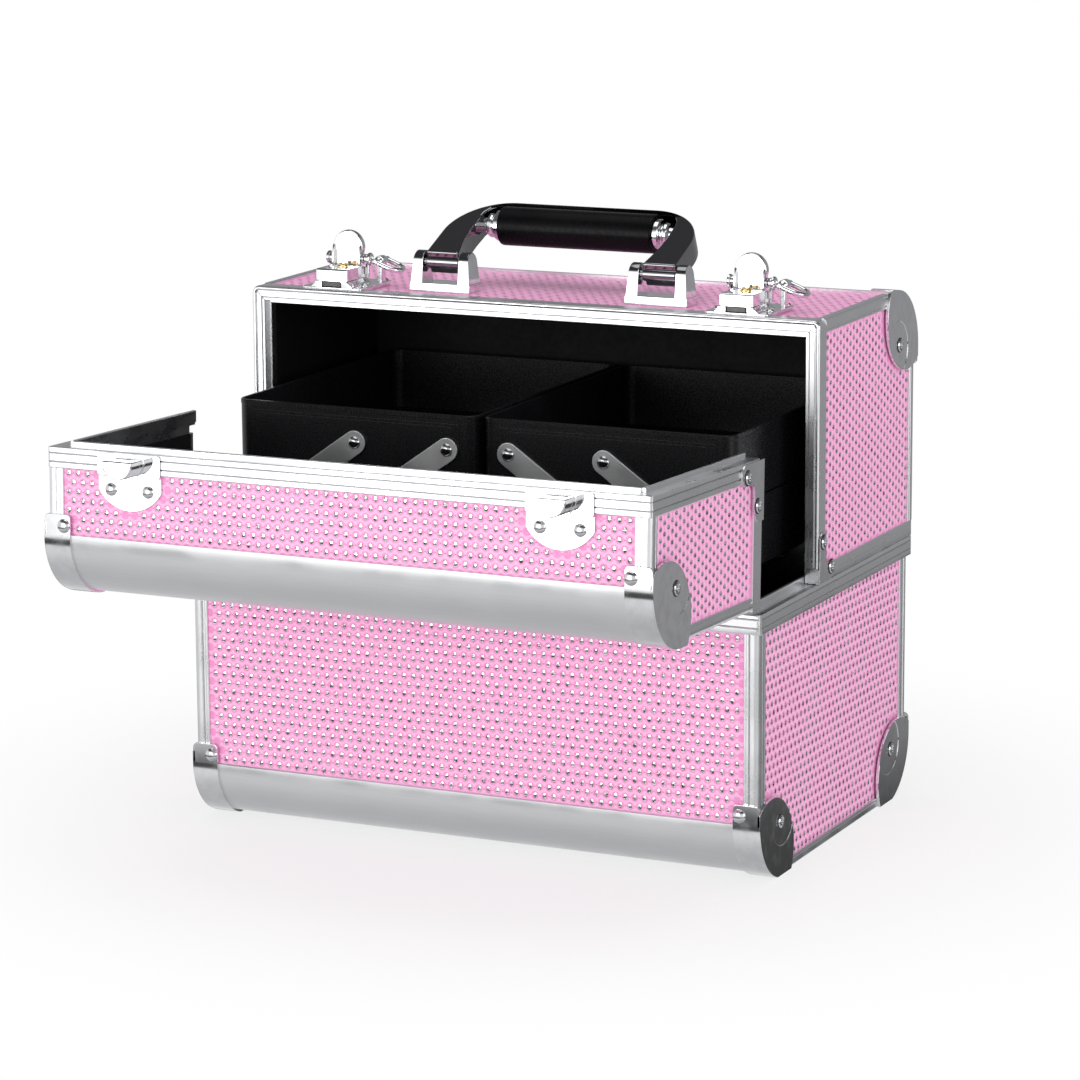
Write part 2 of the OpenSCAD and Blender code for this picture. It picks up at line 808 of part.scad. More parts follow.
module strap_ring_eyes() {
    color(chrome) for (x = [ring_left_x, ring_right_x]) difference() {
        union() {
            block([x - 2.2, ring_y - 2.5, case_h + plate_t], [x + 2.2, ring_y + 2.5, ring_z]);
            translate([x, ring_y - 2.5, ring_z]) rotate([-90, 0, 0]) cylinder(r = 2.8, h = 5);
        }
        translate([x, ring_y - 4, ring_z]) rotate([-90, 0, 0])
            cylinder(r = ring_bar + pivot_clear, h = 8);
    }
}

// D-shaped ring: a bar through the eye, two legs and a half circle. The bar is a little
// thicker than the wire of the legs.
module strap_ring(x) {
    half_w = ring_w / 2 - ring_wire;
    leg = ring_l - half_w - ring_wire;
    color(chrome) translate([x, ring_y, ring_z]) rotate([0, ring_drop, 0]) {
        translate([0, -half_w - ring_bar, 0]) rotate([-90, 0, 0])
            cylinder(r = ring_bar, h = 2 * (half_w + ring_bar));
        for (s = [-1, 1]) translate([0, s * half_w, 0]) rotate([0, 90, 0])
            cylinder(r = ring_wire, h = leg);
        translate([leg, 0, 0]) rotate([0, 0, -90]) rotate_extrude(angle = 180)
            translate([half_w, 0]) circle(ring_wire);
    }
}

module strap_ring_left() {
    strap_ring(ring_left_x);
}

module strap_ring_right() {
    strap_ring(ring_right_x);
}

// ---------- flap ----------

// Turns what is drawn closed to the angle at which the flap stands open.
module flap_pose() {
    translate([0, flap_y, flap_z]) rotate([flap_open, 0, 0]) translate([0, -flap_y, -flap_z]) children();
}

module flap_face_panel() {
    color(pink) flap_pose() block([-flap_in_x, -hd + round_r, panel_top - panel_t],
                                  [flap_in_x, flap_rim_y - flap_band, panel_top]);
}

module flap_front_panel() {
    color(pink) flap_pose() block([-flap_in_x, -hd + panel_inset, lid_z + flap_band],
                                  [flap_in_x, -hd + panel_inset + panel_t, case_h - round_r]);
}

module flap_side_panels() {
    color(pink) flap_pose() left_and_right() along_x(lid_in_x, lid_in_x + panel_t)
        flap_outline(flap_band);
}

// Frames round the side panels: a wide band outside and a narrow one behind it.
module flap_side_frames() {
    color(alu) flap_pose() left_and_right() difference() {
        union() {
            along_x(lid_in_x, hw) difference() {
                flap_outline(0);
                flap_outline(flap_band);
            }
            along_x(flap_in_x, hw) difference() {
                flap_outline(0);
                flap_outline(skin);
            }
        }
        block([flap_in_x - 2, -case_d, lid_z - 1], [hw - frame_w, case_d, part_z + tongue_h + 0.5]);
    }
}

// Bars across the flap: the rim at its opening and the hinge rail.
module flap_rails() {
    color(alu) flap_pose() {
        block([-flap_in_x, flap_rim_y - flap_band, case_h - rim_t], [flap_in_x, flap_rim_y, case_h]);
        block([-flap_in_x, -hd, lid_z], [flap_in_x, -hd + 5.3, lid_z + flap_band]);
    }
}

// Tongues along the rim's inner edge, which enter the lid's frame as the flap closes.
module flap_tongues() {
    tongue_x = hw - rim_t + 0.2;
    color(alu) flap_pose() {
        left_and_right() along_z(part_z + tongue_h + 1, case_h - rim_t) {
            translate([tongue_x, flap_rim_y - 4]) square([flap_in_x - tongue_x, 4]);
            translate([tongue_x, flap_rim_y]) square([tongue_t - 0.2, flap_tongue]);
        }
        along_x(-tongue_x, tongue_x) {
            translate([flap_rim_y - 1, case_h - rim_t - 0.8]) square([1 + flap_tongue, 0.8]);
            translate([flap_rim_y, case_h - rim_t - 0.4]) square([flap_tongue, 1.4]);
        }
    }
}

module flap_crown() {
    color(satin) flap_pose() along_x(-flap_in_x, flap_in_x)
        quarter_ring(-hd + round_r, case_h - round_r, -1, 1, round_r, sill_in);
}

// Turns a front lower casting onto the flap, with its long end on the closed flap's top.
module flap_corner() {
    flap_pose() left_and_right() translate([0, -hd, case_h - hd]) rotate([-90, 0, 0]) children();
}

module flap_corner_castings() {
    color(chrome) flap_corner() corner_casting(hw, hd, -10);
}

module flap_rivets() {
    color(steel) flap_corner() casting_rivets(hw, hd);
    color(steel) flap_pose() {
        left_and_right() {
            rivet_x([hw + 1, flap_rim_y - 7, lid_z + 21]);
            rivet_x([hw + 1, flap_rim_y - 22, lid_z + 8]);
        }
        at_latches() for (s = [-1, 1])
            translate([s * 10, flap_rim_y - 18, panel_top + plate_t]) rivet(6, 1.5);
    }
}

module flap_corner_brackets() {
    color(steel) flap_pose() left_and_right() along_x(hw, hw + 1) {
        translate([flap_rim_y - 11, lid_z + 0.5]) square([10.5, 27]);
        translate([flap_rim_y - 29, lid_z + 0.5]) square([28.5, 11]);
    }
}

// Keeper: a plate folded down onto the panel, with a round nose that the bolt enters.
module flap_keepers() {
    nose_r = 8;
    nose_h = 12;
    fold_y = flap_rim_y - flap_band - 1.5;
    color(chrome) flap_pose() at_latches() {
        block([-latch_w / 2, fold_y, case_h], [latch_w / 2, flap_rim_y - 0.4, case_h + plate_t]);
        block([-latch_w / 2, fold_y, panel_top], [latch_w / 2, flap_rim_y - flap_band, case_h + plate_t]);
        along_z(panel_top, panel_top + plate_t) intersection() {
            translate([-latch_w / 2, fold_y - 17]) square([latch_w, 17.5]);
            translate([0, fold_y + 3.5]) circle(20);
        }
        difference() {
            along_z(case_h + 0.5, case_h + nose_h) intersection() {
                translate([0, flap_rim_y - 3.5]) circle(nose_r);
                translate([-20, flap_rim_y - 30]) square([40, 30 - 2.6]);
            }
            block([-bolt_w / 2 - 0.5, flap_rim_y - 9, case_h + plate_t],
                  [bolt_w / 2 + 0.5, flap_rim_y + 5, block_z]);
        }
    }
}

module flap_lining() {
    color(black) flap_pose() difference() {
        along_x(-lid_in_x, lid_in_x) intersection() {
            flap_outline(skin);
            translate([-hd, part_z]) square([flap_rim_y - flap_band + hd, case_h]);
        }
        along_x(lining_t - lid_in_x, lid_in_x - lining_t) {
            flap_outline(skin + lining_t);
            translate([skin + lining_t - hd, part_z]) square([case_d, 30]);
        }
    }
}

// ---------- trays ----------

// Tray for the right side, with its underside at z and studs for the arms at pivot_x.
module tray(z, pivot_x, pivot_z) {
    color(black) {
        translate([tray_x, 0, 0]) difference() {
            along_z(z, z + tray_h) round_rect(tray_w / 2, tray_l / 2, tray_r);
            along_z(z + tray_wall, z + tray_h + 1)
                round_rect(tray_w / 2 - tray_wall, tray_l / 2 - tray_wall, tray_r - tray_wall);
        }
        front_and_rear() for (x = pivot_x) translate([x, tray_y - 0.5, pivot_z]) rotate([-90, 0, 0]) {
            cylinder(d = pivot_d, h = 0.5 + 0.4 + arm_t + 0.15);
            translate([0, 0, 0.5 + 0.4 + arm_t + 0.15]) rivet(6, rivet_h);
        }
    }
}

module right_upper_tray() {
    tray(upper_z, [arm_x, arm_x + arm_pitch], pivot_up_z);
}

module right_lower_tray() {
    tray(tray_z, [arm_x + lower_dx, arm_x + arm_pitch + lower_dx], pivot_lo_z);
}

module left_upper_tray() {
    mirror([1, 0, 0]) right_upper_tray();
}

module left_lower_tray() {
    mirror([1, 0, 0]) right_lower_tray();
}

// A pair of arms, front and rear, with bores for both trays' studs. A headed pin at the
// lower end turns in the carrier.
module arm_pair(x_up) {
    dx = lower_dx + case_dx;
    dz = pivot_up_z - pivot_case_z;
    pin_l = carrier_y + carrier_t + 0.3 - arm_y - arm_t;
    color(satin) front_and_rear() {
        along_y(arm_y, arm_y + arm_t) difference() {
            union() {
                translate([x_up, pivot_up_z]) circle(d = arm_w);
                translate([x_up + dx, pivot_case_z]) circle(d = arm_w);
                translate([x_up, pivot_up_z]) rotate(-arm_slope) translate([0, -arm_w / 2])
                    square([sqrt(dx * dx + dz * dz), arm_w]);
            }
            translate([x_up, pivot_up_z]) circle(pivot_d / 2 + pivot_clear);
            translate([x_up + lower_dx, pivot_lo_z]) circle(pivot_d / 2 + pivot_clear);
        }
        translate([x_up + dx, arm_y + arm_t - 0.5, pivot_case_z]) rotate([-90, 0, 0]) {
            cylinder(d = pivot_d, h = pin_l + 0.6);
            translate([0, 0, pin_l + 0.5]) rivet();
        }
    }
}

module right_inner_arms() {
    arm_pair(arm_x);
}

module right_outer_arms() {
    arm_pair(arm_x + arm_pitch);
}

module left_inner_arms() {
    mirror([1, 0, 0]) right_inner_arms();
}

module left_outer_arms() {
    mirror([1, 0, 0]) right_outer_arms();
}

lower_face_panels();
lower_side_panels();
lower_floor();
lower_posts();
lower_rim();
lower_bottom_rails();
lower_corner_castings();
lower_rivets();
lower_lining();
tray_carriers();
flap_hinge_leaves_fixed();
flap_hinge_leaves_moving();
lid_hinge_leaves_fixed();
lid_hinge_leaves_moving();
lid_face_panels();
lid_side_panels();
lid_front_frame();
lid_frame_step();
lid_bottom_rim();
lid_edge_rails();
lid_rear_crown();
lid_corner_castings();
lid_corner_brackets();
lid_rivets();
lid_lining();
handle_brackets();
handle_rods();
handle_frame();
handle_grip();
handle_collars();
latch_plates();
latch_blocks();
lock_cylinders();
latch_lever_left();
latch_lever_right();
latch_bolt_left();
latch_bolt_right();
strap_ring_eyes();
strap_ring_left();
strap_ring_right();
flap_face_panel();
flap_front_panel();
flap_side_panels();
flap_side_frames();
flap_rails();
flap_tongues();
flap_crown();
flap_corner_castings();
flap_corner_brackets();
flap_keepers();
flap_rivets();
flap_lining();
left_upper_tray();
left_lower_tray();
right_upper_tray();
right_lower_tray();
left_inner_arms();
left_outer_arms();
right_inner_arms();
right_outer_arms();
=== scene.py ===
"""Looks of an aluminium-framed beauty case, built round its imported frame.

The classes hold their sizes in millimetres and make their pieces in metres. The flap and
the handle are drawn closed and upright, and are turned to the pose that they rest in.
"""

from __future__ import annotations

import logging
import math
from dataclasses import dataclass, field
from enum import Enum
from typing import Callable, Optional, Sequence

import bmesh
import bpy
from bmesh.types import BMesh, BMFace, BMVert
from mathutils import Matrix, Vector

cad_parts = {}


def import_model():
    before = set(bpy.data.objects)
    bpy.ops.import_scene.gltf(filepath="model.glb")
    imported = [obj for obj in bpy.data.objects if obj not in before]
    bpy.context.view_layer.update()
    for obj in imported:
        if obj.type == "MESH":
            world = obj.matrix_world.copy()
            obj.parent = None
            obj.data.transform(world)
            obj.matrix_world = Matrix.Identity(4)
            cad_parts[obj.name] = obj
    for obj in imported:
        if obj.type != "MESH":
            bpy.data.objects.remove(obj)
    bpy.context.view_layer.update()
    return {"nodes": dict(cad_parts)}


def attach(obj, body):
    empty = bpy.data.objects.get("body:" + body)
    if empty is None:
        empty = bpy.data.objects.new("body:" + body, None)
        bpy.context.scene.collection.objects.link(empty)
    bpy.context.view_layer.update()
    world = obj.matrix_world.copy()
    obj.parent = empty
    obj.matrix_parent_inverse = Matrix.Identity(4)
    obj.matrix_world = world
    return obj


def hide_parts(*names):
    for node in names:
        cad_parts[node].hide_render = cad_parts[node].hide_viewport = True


LOG = logging.getLogger("case")
MM = 0.001
Loop = list[tuple[float, float]]
Triple = Sequence[float]
Socket = bpy.types.NodeSocket
Material = bpy.types.Material

# Sizes of the case in millimetres, with the flap closed and the floor at Z = 0.
HALF_WIDTH = 156.5  # outer faces of the rims and of the lid
HALF_DEPTH = 103.5
BODY_X = 154.5  # outer faces of the lower body
BODY_Y = 101.5
TOP = 266.0  # top of the lid's frame
SEAM = 135.8  # where the lid starts
ROUND = 31.0  # outer radius of the curved edges
CURVE_Y = HALF_DEPTH - ROUND  # centre of the upper curved edges
CURVE_Z = TOP - ROUND
INNER_ROUND = ROUND - 3.5  # inner radius of the curved profiles
BOARD_ROUND = 24.0  # radius of the side boards where they follow a curved edge
BOARD_HIGH = CURVE_Z + BOARD_ROUND  # upper edge of the upper side boards
BOARD_Y = CURVE_Y + BOARD_ROUND  # outer edge of the upper side boards
BOARD_THICK = 4.0
PANEL_TOP = 264.7  # stone face of the boards at the top
PANEL_Y = 102.2  # stone face of the upper boards at front and rear
PANEL_X = 155.2  # stone face of the upper side boards
LID_LOW = 143.8  # lower edge of the lid's boards
FLAP_LOW = 145.8  # lower edge of the flap's boards
LID_FRONT = -30.0  # front of the lid's opening frame
FLAP_RIM = -30.6  # edge of the flap that meets the lid
LATCH_X = 111.5
BRACKET_X = 60.0
CHEEK_CLEAR = 30.2  # radius about a cheek's middle that has no stones
CURVE_CLEAR = 22.4  # radius about a curve's centre within which stones fit
STRAP_BAND = (141.8, 158.0)  # what a casting's strap covers along X


class Slot(Enum):
    """Kinds of finish that the pieces are listed under."""

    STONES = "stone_panel"
    FRAME = "frame_profile"
    CURVE = "curved_profile"
    PLATED = "plated_fittings"
    STEEL = "steel_parts"
    GRIP = "grip"
    LOCK = "lock"
    TRAY = "tray_plastic"
    ARMS = "tray_arms"


class Side(Enum):
    """Half of the case, seen from the front; the value is the sign of X."""

    LEFT = -1
    RIGHT = 1

    @property
    def label(self) -> str:
        """The side's word in the names of pieces and bodies."""
        return self.name.lower()

    @property
    def flip(self) -> Matrix:
        """Turns what is drawn on the right to this side."""
        return MIRROR_X if self is Side.LEFT else IDENTITY


class Facing(Enum):
    """The axis along which a flat outline is given its thickness."""

    X = "x"
    Y = "y"
    Z = "z"

    def place(self, u: float, v: float, w: float) -> Vector:
        """Puts an outline's point (u, v) at the height w above its plane.

        Args:
            u: First coordinate in the outline's plane.
            v: Second coordinate in the outline's plane.
            w: Height along the axis.

        Returns:
            The point in space.
        """
        if self is Facing.X:
            return Vector((w, u, v))
        if self is Facing.Y:
            return Vector((u, w, v))
        return Vector((u, v, w))


def arc(cu: float, cv: float, radius: float, start: float, stop: float, steps: int = 8) -> Loop:
    """Points along an arc.

    Args:
        cu: First coordinate of the centre.
        cv: Second coordinate of the centre.
        radius: Radius of the arc.
        start: First angle in degrees.
        stop: Last angle in degrees.
        steps: Number of straight steps.

    Returns:
        The points, first to last.
    """
    angles = [math.radians(start + (stop - start) * i / steps) for i in range(steps + 1)]
    return [(cu + radius * math.cos(a), cv + radius * math.sin(a)) for a in angles]


def rounded(hx: float, hy: float, radius: float, cx: float = 0.0, cy: float = 0.0,
            steps: int = 6) -> Loop:
    """Outline of a rectangle with round corners.

    Args:
        hx: Half of its width.
        hy: Half of its height.
        radius: Radius of its corners.
        cx: First coordinate of its centre.
        cy: Second coordinate of its centre.
        steps: Straight steps in each corner.

    Returns:
        The outline's points.
    """
    loop: Loop = []
    for sx, sy, start in ((1, 1, 0), (-1, 1, 90), (-1, -1, 180), (1, -1, 270)):
        loop += arc(cx + sx * (hx - radius), cy + sy * (hy - radius), radius, start, start + 90, steps)
    return loop


def span(left: float, right: float, low: float, high: float) -> Loop:
    """Outline of a rectangle between two corners."""
    return [(left, low), (right, low), (right, high), (left, high)]


def strap_blocks(low: float, high: float) -> list[tuple[float, float, float, float]]:
    """What the castings' straps cover, left and right, between two heights of a board."""
    near, far = STRAP_BAND
    return [(-far, -near, low, high), (near, far, low, high)]


def turn(degrees: float, axis: str, about: tuple[float, float, float] = (0, 0, 0)) -> Matrix:
    """A rotation about an axis through a point.

    Args:
        degrees: Angle, by the right-hand rule.
        axis: "X", "Y" or "Z".
        about: A point on the axis.

    Returns:
        The transform.
    """
    there = Matrix.Translation(about)
    return there @ Matrix.Rotation(math.radians(degrees), 4, axis) @ there.inverted()


def shift(x: float = 0.0, y: float = 0.0, z: float = 0.0) -> Matrix:
    """A move by the given distances."""
    return Matrix.Translation((x, y, z))


IDENTITY = Matrix.Identity(4)
MIRROR_X = Matrix.Diagonal((-1, 1, 1, 1))
MIRROR_Y = Matrix.Diagonal((1, -1, 1, 1))
FLAP_OPEN = turn(88, "X", (0, -105.7, 136.7))
HANDLE_BACK = shift(0, -0.7, 279.5) @ turn(-66, "X")
BOTH_SIDES = (IDENTITY, MIRROR_X)
FOUR_CORNERS = (IDENTITY, MIRROR_X, MIRROR_Y, MIRROR_X @ MIRROR_Y)


# ---------------------------------------------------------------- solids


def closed(bm: BMesh) -> BMesh:
    """Merges what coincides and turns all faces outwards.

    Args:
        bm: A closed solid.

    Returns:
        The same solid.
    """
    bmesh.ops.remove_doubles(bm, verts=bm.verts[:], dist=1e-4)
    bmesh.ops.recalc_face_normals(bm, faces=bm.faces[:])
    return bm


def soften(bm: BMesh, width: float, segments: int = 2, above: float = 30.0) -> BMesh:
    """Rounds the edges that turn by more than an angle.

    Args:
        bm: The solid.
        width: Width of the rounding.
        segments: Number of steps across it.
        above: Smallest angle that counts as an edge, in degrees.

    Returns:
        The same solid.
    """
    if width <= 0:
        return bm
    limit = math.radians(above)
    edges = [e for e in bm.edges if e.is_manifold and e.calc_face_angle(0) > limit]
    bmesh.ops.bevel(bm, geom=edges, offset=width, affect="EDGES", segments=segments,
                    profile=0.5, material=-1, clamp_overlap=True)
    return bm


def grown(bm: BMesh, faces: list[BMFace],
          move: Triple = (0, 0, 0)) -> tuple[list[BMVert], list[BMFace]]:
    """Extrudes faces, and deletes them where they would stay inside the solid.

    Args:
        bm: The mesh.
        faces: What is extruded.
        move: How far the new faces are moved.

    Returns:
        The new vertices and the new faces.
    """
    made = bmesh.ops.extrude_face_region(bm, geom=faces)["geom"]
    drop_inner(bm, faces)
    verts = [e for e in made if isinstance(e, BMVert)]
    bmesh.ops.translate(bm, verts=verts, vec=move)
    return verts, [e for e in made if isinstance(e, BMFace)]


def drop_inner(bm: BMesh, faces: list[BMFace]) -> None:
    """Deletes those of the faces that lie inside the solid."""
    inner = [f for f in faces if all(len(e.link_faces) > 2 for e in f.edges)]
    bmesh.ops.delete(bm, geom=inner, context="FACES_ONLY")


def slab(loop: Loop, facing: Facing, low: float, high: float, edge: float = 0.0,
         segments: int = 2) -> BMesh:
    """A flat outline given a thickness.

    Args:
        loop: The outline.
        facing: Axis of the thickness.
        low: Where it starts on that axis.
        high: Where it ends.
        edge: Rounding of its edges.
        segments: Steps across the rounding.

    Returns:
        The solid.
    """
    bm = bmesh.new()
    face = bm.faces.new([bm.verts.new(facing.place(u, v, low)) for u, v in loop])
    grown(bm, [face], facing.place(0, 0, high - low))
    return soften(closed(bm), edge, segments)


def brick(low: Triple, high: Triple, edge: float = 0.3, segments: int = 2) -> BMesh:
    """A block between two corners, with rounded edges.

    Args:
        low: Its lowest corner.
        high: Its highest corner.
        edge: Rounding of its edges.
        segments: Steps across the rounding.

    Returns:
        The solid.
    """
    size = Vector(high) - Vector(low)
    place = Matrix.Translation((Vector(low) + Vector(high)) / 2) @ Matrix.Diagonal((*size, 1))
    bm = bmesh.new()
    bmesh.ops.create_cube(bm, size=1, matrix=place)
    return soften(bm, edge, segments)


def turned(profile: Sequence[tuple[float, float]], sides: int = 32) -> BMesh:
    """A solid of revolution about Z.

    Args:
        profile: Radius and height of each point; a first or last radius of 0 closes the end.
        sides: Number of sides.

    Returns:
        The solid.
    """
    bm = bmesh.new()
    verts = [bm.verts.new((r, 0, z)) for r, z in profile]
    edges = [bm.edges.new(pair) for pair in zip(verts, verts[1:])]
    bmesh.ops.spin(bm, geom=verts + edges, cent=(0, 0, 0), axis=(0, 0, 1), dvec=(0, 0, 0),
                   angle=math.tau, steps=sides, use_merge=True, use_duplicate=False)
    return closed(bm)


def rod(radius: float, length: float, edge: float = 0.3, sides: int = 32, bore: float = 0.0) -> BMesh:
    """A round bar from the origin along +Z, with rounded rims and perhaps a bore.

    Args:
        radius: Outer radius.
        length: Its length.
        edge: Rounding of its rims.
        sides: Number of sides.
        bore: Radius of the hole through it, or 0.

    Returns:
        The solid.
    """
    r, k = radius, edge
    outer = [(r - k, 0), (r - 0.3 * k, 0.3 * k), (r, k), (r, length - k),
             (r - 0.3 * k, length - 0.3 * k), (r - k, length)]
    if bore:
        return turned([(bore, 0)] + outer + [(bore, length), (bore, 0)], sides)
    return turned([(0, 0)] + outer + [(0, length)], sides)


def cut(bm: BMesh, point: Triple, normal: Triple) -> BMesh:
    """Cuts off what lies on the far side of a plane and closes the cut.

    Args:
        bm: The solid.
        point: A point on the plane.
        normal: The side that is cut off.

    Returns:
        The same solid.
    """
    geom = bm.verts[:] + bm.edges[:] + bm.faces[:]
    made = bmesh.ops.bisect_plane(bm, geom=geom, plane_co=point, plane_no=normal, clear_outer=True)
    rims = [e for e in made["geom_cut"] if isinstance(e, bmesh.types.BMEdge)]
    bmesh.ops.holes_fill(bm, edges=rims, sides=0)
    bmesh.ops.recalc_face_normals(bm, faces=bm.faces[:])
    return bm


def mitred_bar(section: Loop, length: float, gap: float = 0.15,
               square_end: Optional[float] = None) -> BMesh:
    """A bar of a frame, along X, cut at 45 degrees where it meets the next one.

    Args:
        section: Depth below the outer face, and height, of each point of its section.
        length: Length of its outer edge, centred on X = 0.
        gap: Half of the hairline between two bars.
        square_end: Where a bar with one square end stops on the +X side, or None.

    Returns:
        The bar, with its outer face at Y = 0 and its depth along +Y.
    """
    half = length / 2
    bm = slab(section, Facing.X, -half, half if square_end is None else square_end)
    cut(bm, (gap - half, 0, 0), (-1, 1, 0))
    if square_end is None:
        cut(bm, (half - gap, 0, 0), (1, 1, 0))
    return bm


def swept(section: Loop, facing: Facing, at: float, moves: Sequence[tuple]) -> BMesh:
    """A section led along straight lines and quarter turns.

    Args:
        section: Outline of the section.
        facing: Axis that the section faces at its start.
        at: Where it stands on that axis.
        moves: ("go", vector) or ("bend", centre, axis, degrees), in order.

    Returns:
        The solid.
    """
    bm = bmesh.new()
    last = [bm.faces.new([bm.verts.new(facing.place(u, v, at)) for u, v in section])]
    for kind, *how in moves:
        if kind == "go":
            last = grown(bm, last, how[0])[1]
        else:
            centre, axis, degrees = how
            spun = bmesh.ops.spin(bm, geom=last, cent=centre, axis=axis, dvec=(0, 0, 0),
                                  angle=math.radians(degrees), steps=14, use_merge=False,
                                  use_duplicate=False)["geom_last"]
            drop_inner(bm, last)
            last = [e for e in spun if isinstance(e, BMFace)]
    return closed(bm)


def traced(node: bpy.types.Object, edge: float = 0.25, segments: int = 2) -> BMesh:
    """A copy of a CAD node with its triangles joined and its edges rounded.

    Args:
        node: The node's object.
        edge: Rounding of its edges, in millimetres.
        segments: Steps across the rounding.

    Returns:
        The copy, in millimetres.
    """
    bm = bmesh.new()
    bm.from_mesh(node.data)
    bmesh.ops.scale(bm, vec=(1 / MM,) * 3, verts=bm.verts[:])
    bmesh.ops.remove_doubles(bm, verts=bm.verts[:], dist=1e-3)
    bmesh.ops.dissolve_limit(bm, angle_limit=math.radians(0.6), verts=bm.verts[:], edges=bm.edges[:])
    return soften(bm, edge, segments)


def lined(bm: BMesh, axis: Triple, level: float, finish: int) -> BMesh:
    """Gives the grooves' bottoms a painted shade: the faces that look along an axis at one level.

    Args:
        bm: The solid.
        axis: Direction in which the faces look.
        level: Their height along that direction.
        finish: Index of the finish that paints the shade.

    Returns:
        The same solid.
    """
    way = Vector(axis)
    for face in bm.faces:
        if face.normal.dot(way) > 0.95 and abs(face.calc_center_median().dot(way) - level) < 0.06:
            face.material_index = finish
    return bm


@dataclass
class Piece:
    """One visible piece: its solids, what it rides on, and what it stands for."""

    name: str
    body: str
    slot: Slot
    finishes: tuple[Material, ...]
    stands_for: tuple[str, ...] = ()
    mesh: BMesh = field(default_factory=bmesh.new)

    def add(self, solid: BMesh, *places: Matrix, finish: int = 0) -> "Piece":
        """Adds a solid at one or more places and frees it.

        Args:
            solid: What is added.
            places: Where each copy goes; none means as drawn.
            finish: Index of the finish for the faces that have the first one.

        Returns:
            The piece.
        """
        for face in solid.faces:
            if finish and not face.material_index:
                face.material_index = finish
        for place in places or (IDENTITY,):
            scratch = bpy.data.meshes.new("scratch")
            solid.to_mesh(scratch)
            scratch.transform(place)
            if place.determinant() < 0:
                scratch.flip_normals()
            self.mesh.from_mesh(scratch)
            bpy.data.meshes.remove(scratch)
        solid.free()
        return self

    def make(self, smooth: float = 32.0, whole: Matrix = IDENTITY) -> bpy.types.Object:
        """Makes the object, dresses it and puts it on its body.

        Args:
            smooth: Largest angle that is shaded smooth, in degrees.
            whole: Turns the whole piece to the pose that it rests in.

        Returns:
            The object.
        """
        data = bpy.data.meshes.new(self.name)
        self.mesh.to_mesh(data)
        self.mesh.free()
        data.transform(Matrix.Diagonal((MM, MM, MM, 1)) @ whole)
        for finish in self.finishes:
            data.materials.append(finish)
        data.shade_smooth()
        data.set_sharp_from_angle(angle=math.radians(smooth))
        piece = bpy.data.objects.new(self.name, data)
        bpy.context.scene.collection.objects.link(piece)
        weighted = piece.modifiers.new("even shading", "WEIGHTED_NORMAL")
        weighted.keep_sharp = True
        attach(piece, self.body)
        if self.stands_for:
            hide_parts(*self.stands_for)
        LOG.info("%s on %s: %d faces", self.name, self.body, len(data.polygons))
        return piece


# ---------------------------------------------------------------- finishes


